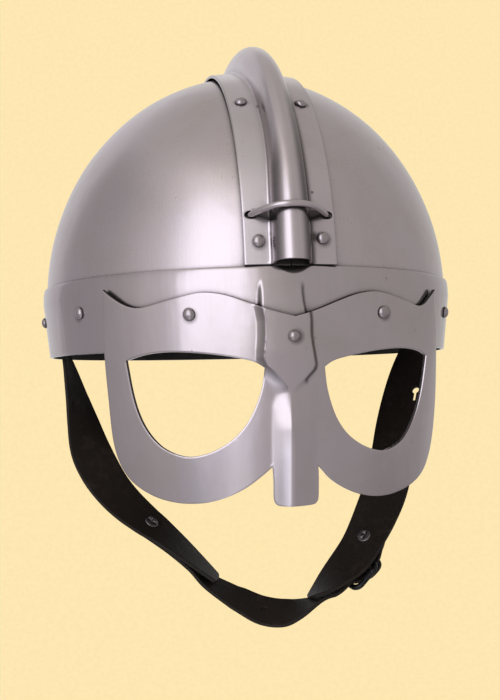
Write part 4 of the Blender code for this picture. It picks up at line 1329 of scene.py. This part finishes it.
# where it lies on the side straps: how far down, how far out, and more turn
tongueOnLeft = [(104.0, 2.2, 0), (116.0, 2.2, 0), (128.0, 2.2, 0), (140.0, 2.2, 1),
                (152.0, 2.5, 5), (162.0, 3.7, 9)]
tongueOnRight = [(174.5, 3.2), (169.5, 4.1), (164.0, 4.4), (158.2, 3.5), (151.2, 7.0),
                 (146.8, 9.5), (142.6, 9.9), (138.0, 9.2)]


class Strap:
    def __init__(self, rows):
        points = [Vector(row[:3]) for row in rows]
        turns = [row[3] for row in rows]
        spots = [(i, k / 12) for i in range(len(rows) - 1) for k in range(12)]
        self.points = [curveBetween(points, *spot) for spot in spots] + points[-1:]
        self.turns = [curveBetween(turns, *spot) for spot in spots] + turns[-1:]
        self.along = runsOf(self.points)
        self.length = float(self.along[-1])
        self.columns = [*zip(*self.points), self.turns]

    def read(self, s):
        return [float(np.interp(s, self.along, c)) for c in self.columns]

    def frame(self, s):
        s = min(max(s, 0), self.length)
        *point, turn = self.read(s)
        ahead = Vector(self.read(min(s + 2, self.length))[:3])
        behind = Vector(self.read(max(s - 2, 0))[:3])
        along = (ahead - behind).normalized()
        level = Vector((0, 1, 0)) - along * along.y
        level.normalize()
        across = level * cos(radians(turn)) + along.cross(level) * sin(radians(turn))
        return Vector(point), along, across, along.cross(across)

    def nearest(self, target):
        gaps = [(p - target).length for p in self.points]
        return float(self.along[int(np.argmin(gaps))])

    def place(self, s, across, out):
        point, along, width, face = self.frame(s)
        overrun = s - min(max(s, 0), self.length)
        return point + along * overrun + width * across + face * out


def leatherStrip(name, node, line, width, tip, holes, plugAt=None):
    half, end, thick = width / 2, line.length, strap["leather"]
    outline = [Vector((0, -half)), Vector((end - tip, -half))]
    outline += [Vector((end - tip + tip * cos(t), half * sin(t)))
                for t in np.linspace(-pi / 2, pi / 2, 17)[1:-1]]
    outline += [Vector((end - tip, half)), Vector((0, half))]

    def bent(s, across, depth):
        return line.place(s, across, thick / 2 - depth)

    shape, _ = sheet(evenLoop(outline, 1.1), holes, np.arange(0.9, end, 1.3),
                     np.arange(-half + 1, half - 0.5, 1.2), thick, strap["edge"], bent)
    if plugAt:
        # the slug of a hole that was marked but never pushed out
        rings = []
        for share, out in ((0.9, -0.5), (1.0, -0.4), (1.0, 0.4), (0.9, 0.5), (0.5, 0.45)):
            radius = (strap["holeRadius"] - 0.08) * share
            rings.append([line.place(plugAt + p.x, p.y, out * strap["plugThick"])
                          for p in ovalLoop(0, 0, radius, radius)])
        shape = gather([shape, skinRings(rings, False)])
    finishPiece(name, shape, [leather], [node], sharp=50)


def keyhole(radius, slit):
    s, across = strap["keyholeAt"]
    far = s + strap["keyholeLong"]
    arc = [Vector((s + radius * cos(radians(t)), across + radius * sin(radians(t))))
           for t in range(22, 339, 12)]
    return arc + [Vector((far, across - slit)), Vector((far, across + slit))]


# radius and height of the washer, then place and height along a curled prong
washer = [(3.25, 0.0), (3.4, 0.15), (3.35, 0.4), (3.0, 0.6), (2.2, 0.68), (1.2, 0.66),
          (0.3, 0.66)]
curl = [(0.35, 0.55), (0.5, 1.35), (1.0, 1.9), (1.75, 1.95), (2.35, 1.5), (2.5, 0.9)]
curlRadii = [0.5, 0.52, 0.52, 0.5, 0.45, 0.34]


def splitRivet(name, node, line, s, face):
    # washer with the rivet's two prongs curled back on it, along the strap
    point, along, across, out = line.frame(s)
    out = out * face
    base = point + out * (strap["leather"] / 2 + clear)
    rings = [[base + out * height + along * radius * cos(a) + across * radius * sin(a)
              for a in np.linspace(0, 2 * pi, 32, endpoint=False)]
             for radius, height in washer]
    parts = [skinRings(rings, False)]
    parts += [tube([base + along * way * a + out * h for a, h in curl], curlRadii, 14,
                   flat=2.1, across=along * 1.0 + out * 0.2) for way in (-1, 1)]
    finishPiece(name, gather(parts), [dullSteel], [node], sharp=50)


def onBuckle(line, s, across, out):
    # the buckle is flat where the strap still twists
    soft = line.place(s, across, out)
    point, along, width, face = line.frame(buckle["liesAt"])
    stiff = point + along * (s - buckle["liesAt"]) + width * across + face * out
    mix = (s - buckle["freeFrom"]) / (buckle["stiffFrom"] - buckle["freeFrom"])
    past = s - buckle["heelAt"] - buckle["length"] - buckle["stiffPast"]
    if past > 0:
        mix = 1 - past / buckle["fadesOver"]
    return soft.lerp(stiff, min(max(mix, 0), 1))


def prongLine(t):
    # from the heel bar to just over the free bar
    start = buckle["heelAt"] + buckle["wire"] + buckle["prong"] + 0.2
    end = buckle["heelAt"] + buckle["length"] + 1
    tipOut = buckle["freeOut"] + buckle["wire"] + buckle["prong"] + 0.6
    return start + (end - start) * t, 0, buckle["heelOut"] + (tipOut - buckle["heelOut"]) * t


def prongCrossing():
    # where the prong goes through the tongue
    down = [s for s, _ in tongueOnRight][::-1]
    outs = [out for _, out in tongueOnRight][::-1]
    tries = [prongLine(t) for t in np.linspace(0, 1, 60)]
    return min(tries, key=lambda p: abs(float(np.interp(p[0], down, outs)) - p[2]))


def tongueLine(left, right):
    rows = [(*left.place(s, 0, -out), left.read(s)[3] + more) for s, out, more in tongueOnLeft]
    rows += tongueFree
    for s, out in tongueOnRight:
        inBuckle = buckle["stiffFrom"] < s < buckle["heelAt"] + buckle["length"]
        turn = right.read(buckle["liesAt"] if inBuckle else s)[3]
        rows.append((*onBuckle(right, s, 0, out), -turn))
    return Strap(rows)


def chinStrap():
    left, right = Strap(leftRows), Strap(rightRows)
    leatherStrip("strapLeft", "strap_left", left, strap["width"], strap["blunt"],
                 [keyhole(*strap["keyholeLeft"])])
    leatherStrip("strapRight", "strap_right", right, strap["width"], strap["blunt"],
                 [keyhole(*strap["keyholeRight"])])
    splitRivet("splitRivetLeft", "tongue_rivet", left, strap["splitLeft"], 1)
    splitRivet("splitRivetRight", "buckle_rivet", right, strap["splitRight"], -1)
    tongue = tongueLine(left, right)
    pierced = tongue.nearest(onBuckle(right, *prongCrossing()))
    plugAt, radius = pierced + strap["plugAt"], strap["holeRadius"]
    leatherStrip("strapTongue", "strap_tongue", tongue, strap["tongueWidth"],
                 strap["pointed"], [ovalLoop(plugAt, 0, radius, radius),
                                    ovalLoop(pierced, 0, *strap["prongHole"])], plugAt)
    return right


def buckleFrame(line):
    middle, r = buckle["heelAt"] + buckle["length"] / 2, buckle["corner"]
    halfLength, halfWidth = buckle["length"] / 2, buckle["width"] / 2
    loop = []
    for turn, cx, cy in ((0, 1, 1), (90, -1, 1), (180, -1, -1), (270, 1, -1)):
        for t in np.linspace(0, 90, 9):
            a = radians(turn + t)
            s = cx * (halfLength - r) + r * cos(a)
            across = cy * (halfWidth - r) + r * sin(a)
            share = (halfLength + s) / buckle["length"]
            out = buckle["heelOut"] + (buckle["freeOut"] - buckle["heelOut"]) * share
            loop.append(onBuckle(line, middle + s, across, out))
    finishPiece("buckleFrame", tube(evenLoop(loop, 2.2), buckle["wire"], 18, closed=True),
                [buckleSteel], ["buckle_frame"], sharp=60)


def buckleProng(line):
    points = [onBuckle(line, *prongLine(t)) for t in np.linspace(0, 1, 9)]
    finishPiece("buckleProng", tube(*roundEnds(points, buckle["prong"])), [buckleSteel],
                ["buckle_prong"], sharp=60)


def buckleTab(line):
    # leather folded round the heel bar, with a slot where the prong comes out
    thick, heel = tab["leather"], buckle["heelAt"]
    radius = buckle["wire"] + tab["roomForWire"] + thick / 2
    end, low = heel - tab["length"], buckle["heelOut"] - radius
    back = low + thick + tab["layersApart"]
    path = [Vector((s, low)) for s in np.linspace(end, heel, 16)[:-1]]
    foldFrom = len(path)
    path += [Vector((heel + radius * cos(radians(t)),
                     buckle["heelOut"] + radius * sin(radians(t))))
             for t in np.linspace(-90, 120, 26)]
    foldTo, lastFold = len(path) - 1, path[-1]
    path += [lastFold.lerp(Vector((heel - tab["overlap"], back)), eased(t))
             for t in (0.25, 0.5, 0.75, 1.0)]
    path += [Vector((s, back)) for s in np.linspace(heel - tab["overlap"] - 1, end, 8)]
    runs = runsOf(path)
    length = float(runs[-1])

    def bent(s, across, depth):
        i = int(min(max(np.searchsorted(runs, s), 1), len(path) - 1))
        a, b = path[i - 1], path[i]
        t = (s - runs[i - 1]) / (runs[i] - runs[i - 1])
        before, after = path[max(i - 2, 0)], path[min(i + 1, len(path) - 1)]
        run = ((b - before).normalized().lerp((after - a).normalized(), t)).normalized()
        point = a.lerp(b, t) + Vector((-run.y, run.x)) * (thick / 2 - depth)
        return onBuckle(line, point.x, across, point.y)

    half = tab["width"] / 2
    slot = boxLoop(float(runs[foldFrom]) + tab["slotFrom"], -tab["slotHalf"],
                   float(runs[foldTo]), tab["slotHalf"], 0.6)
    shape, _ = sheet(boxLoop(0, -half, length, half, 0.8), [slot],
                     np.arange(0.8, length - 0.5, 0.8),
                     np.arange(-half + 0.8, half - 0.5, 0.9), thick, tab["edge"], bent)
    finishPiece("buckleTab", shape, [leather], ["buckle_tab"], sharp=50)


rightStrap = chinStrap()
buckleFrame(rightStrap)
buckleProng(rightStrap)
buckleTab(rightStrap)
print("chin strap made")


# studio: pale floor that runs up into a backdrop, and soft light

studio = {
    "paper": (0.991, 0.799, 0.445), "paperShade": 0.965, "floorDepth": 0.9,
    "frontAt": -3.5, "backAt": 2.6, "bend": 1.1, "height": 4.0, "halfWidth": 5.0,
    "gain": 1.67,
}


def makeFloor():
    low = cadLow.z - studio["floorDepth"]
    profile = [(studio["frontAt"], low), (studio["backAt"] - studio["bend"], low)]
    for t in np.linspace(0, pi / 2, 25)[1:]:
        profile.append((studio["backAt"] - studio["bend"] * (1 - sin(t)),
                        low + studio["bend"] * (1 - cos(t))))
    profile.append((studio["backAt"], low + studio["height"]))
    verts = [(side * studio["halfWidth"], y, z) for y, z in profile for side in (-1, 1)]
    faces = [(2 * i, 2 * i + 1, 2 * i + 3, 2 * i + 2) for i in range(len(profile) - 1)]
    mesh = bpy.data.meshes.new("floor")
    mesh.from_pydata(verts, [], faces)
    mesh.shade_smooth()
    material, tree, here = newMaterial("pale paper")
    tone = mixColor(tree, grain(tree, here, 90.0, 2.0, 0.5).rise(0.3, 0.7), studio["paper"],
                    tuple(c * studio["paperShade"] for c in studio["paper"]))
    closeMaterial(tree, {"Base Color": (0.02, 0.017, 0.01), "Roughness": 1.0,
                         "Specular IOR Level": 0.0, "Emission Color": tone,
                         "Emission Strength": 1.0})
    mesh.materials.append(material)
    floor = bpy.data.objects.new("floor", mesh)
    scene.collection.objects.link(floor)
    floor.visible_glossy = floor.visible_diffuse = floor.visible_shadow = False


# how bright the studio is in each direction: turn from the front towards +X, and
# brightness, as rings below, around, above and overhead
around = [
    (-180, 0.43), (-165, 0.41), (-150, 0.37), (-143, 0.345), (-138, 0.215), (-120, 0.20),
    (-108, 0.215), (-97, 0.25), (-87, 0.30), (-78, 0.36), (-68, 0.44), (-59, 0.56),
    (-55, 0.98), (-50, 1.22), (-20, 1.22), (-14, 0.85), (-8, 0.50), (-2, 0.36),
    (8, 0.30), (30, 0.27), (60, 0.27), (100, 0.26), (115, 0.25), (125, 0.30),
    (140, 0.33), (158, 0.38), (170, 0.43), (180, 0.41),
]
below = [
    (-180, 0.36), (-143, 0.30), (-137, 0.20), (-100, 0.20), (-90, 0.22), (-80, 0.245),
    (-70, 0.27), (-60, 0.29), (-52, 0.32), (-45, 0.41), (-36, 0.47), (-30, 0.58),
    (-25, 0.66), (-19, 0.50), (-10, 0.37), (0, 0.31), (40, 0.255), (60, 0.245),
    (80, 0.20), (115, 0.17), (130, 0.20), (160, 0.33), (180, 0.36),
]
above = [
    (-180, 0.31), (-150, 0.29), (-130, 0.30), (-110, 0.31), (-100, 0.34), (-90, 0.38),
    (-80, 0.44), (-70, 0.52), (-60, 0.60), (-50, 0.68), (-40, 0.74), (-25, 0.70),
    (-12, 0.50), (0, 0.40), (20, 0.305), (60, 0.27), (130, 0.27), (160, 0.30), (180, 0.31),
]
overhead = [
    (-180, 0.29), (-140, 0.30), (-100, 0.305), (-70, 0.335), (-45, 0.34), (-15, 0.32),
    (10, 0.315), (60, 0.27), (140, 0.27), (180, 0.29),
]


tints = {
    "low": (0.985, 0.97, 1.0), "middle": (1.0, 0.985, 0.965), "left": (0.98, 0.97, 1.0),
    "high": (1.01, 1.0, 0.955), "box": (0.945, 0.975, 1.06),
}


def makeLight():
    world = bpy.data.worlds.new("studio light")
    scene.world = world
    world.use_nodes = True
    tree = world.node_tree
    tree.nodes.clear()
    toward = addNode(tree, "ShaderNodeTexCoord")["Generated"]
    split = addNode(tree, "ShaderNodeSeparateXYZ", None, {"Vector": toward})
    x, y, z = split["X"], split["Y"], split["Z"]
    turn = x.sum("ARCTAN2", x, -y) * (180 / pi)
    height = z.sum("ARCSINE", z) * (180 / pi)
    share = turn / 360 + 0.5

    def ring(levels):
        stops = [((t + 180) / 360, (level, level, level)) for t, level in levels]
        return addNode(tree, "ShaderNodeValToRGB", {"stops": stops}, {"Fac": share})["Color"]

    level = ring(below)
    for start, end, levels in ((-17, -8, around), (37, 51, above), (50, 68, overhead)):
        level = mixColor(tree, height.rise(start, end), level, ring(levels))
    # the key box to the left is cooler, and so is the light from behind and from below
    box = turn.rise(-75, -50) * (1 - turn.rise(-20, -4)) * (1 - height.rise(37, 55))
    color = mixColor(tree, height.rise(-16, 0), tints["low"], tints["middle"])
    color = mixColor(tree, 1 - turn.rise(-95, -60), color, tints["left"])
    color = mixColor(tree, height.rise(35, 62), color, tints["high"])
    color = mixColor(tree, box, color, tints["box"])
    color = mixColor(tree, 1.0, color, level, "MULTIPLY")
    lamp = addNode(tree, "ShaderNodeBackground", None,
                   {"Color": color, "Strength": studio["gain"]})
    addNode(tree, "ShaderNodeOutputWorld", None, {"Surface": lamp["Background"]})


makeFloor()
makeLight()
print("studio made")
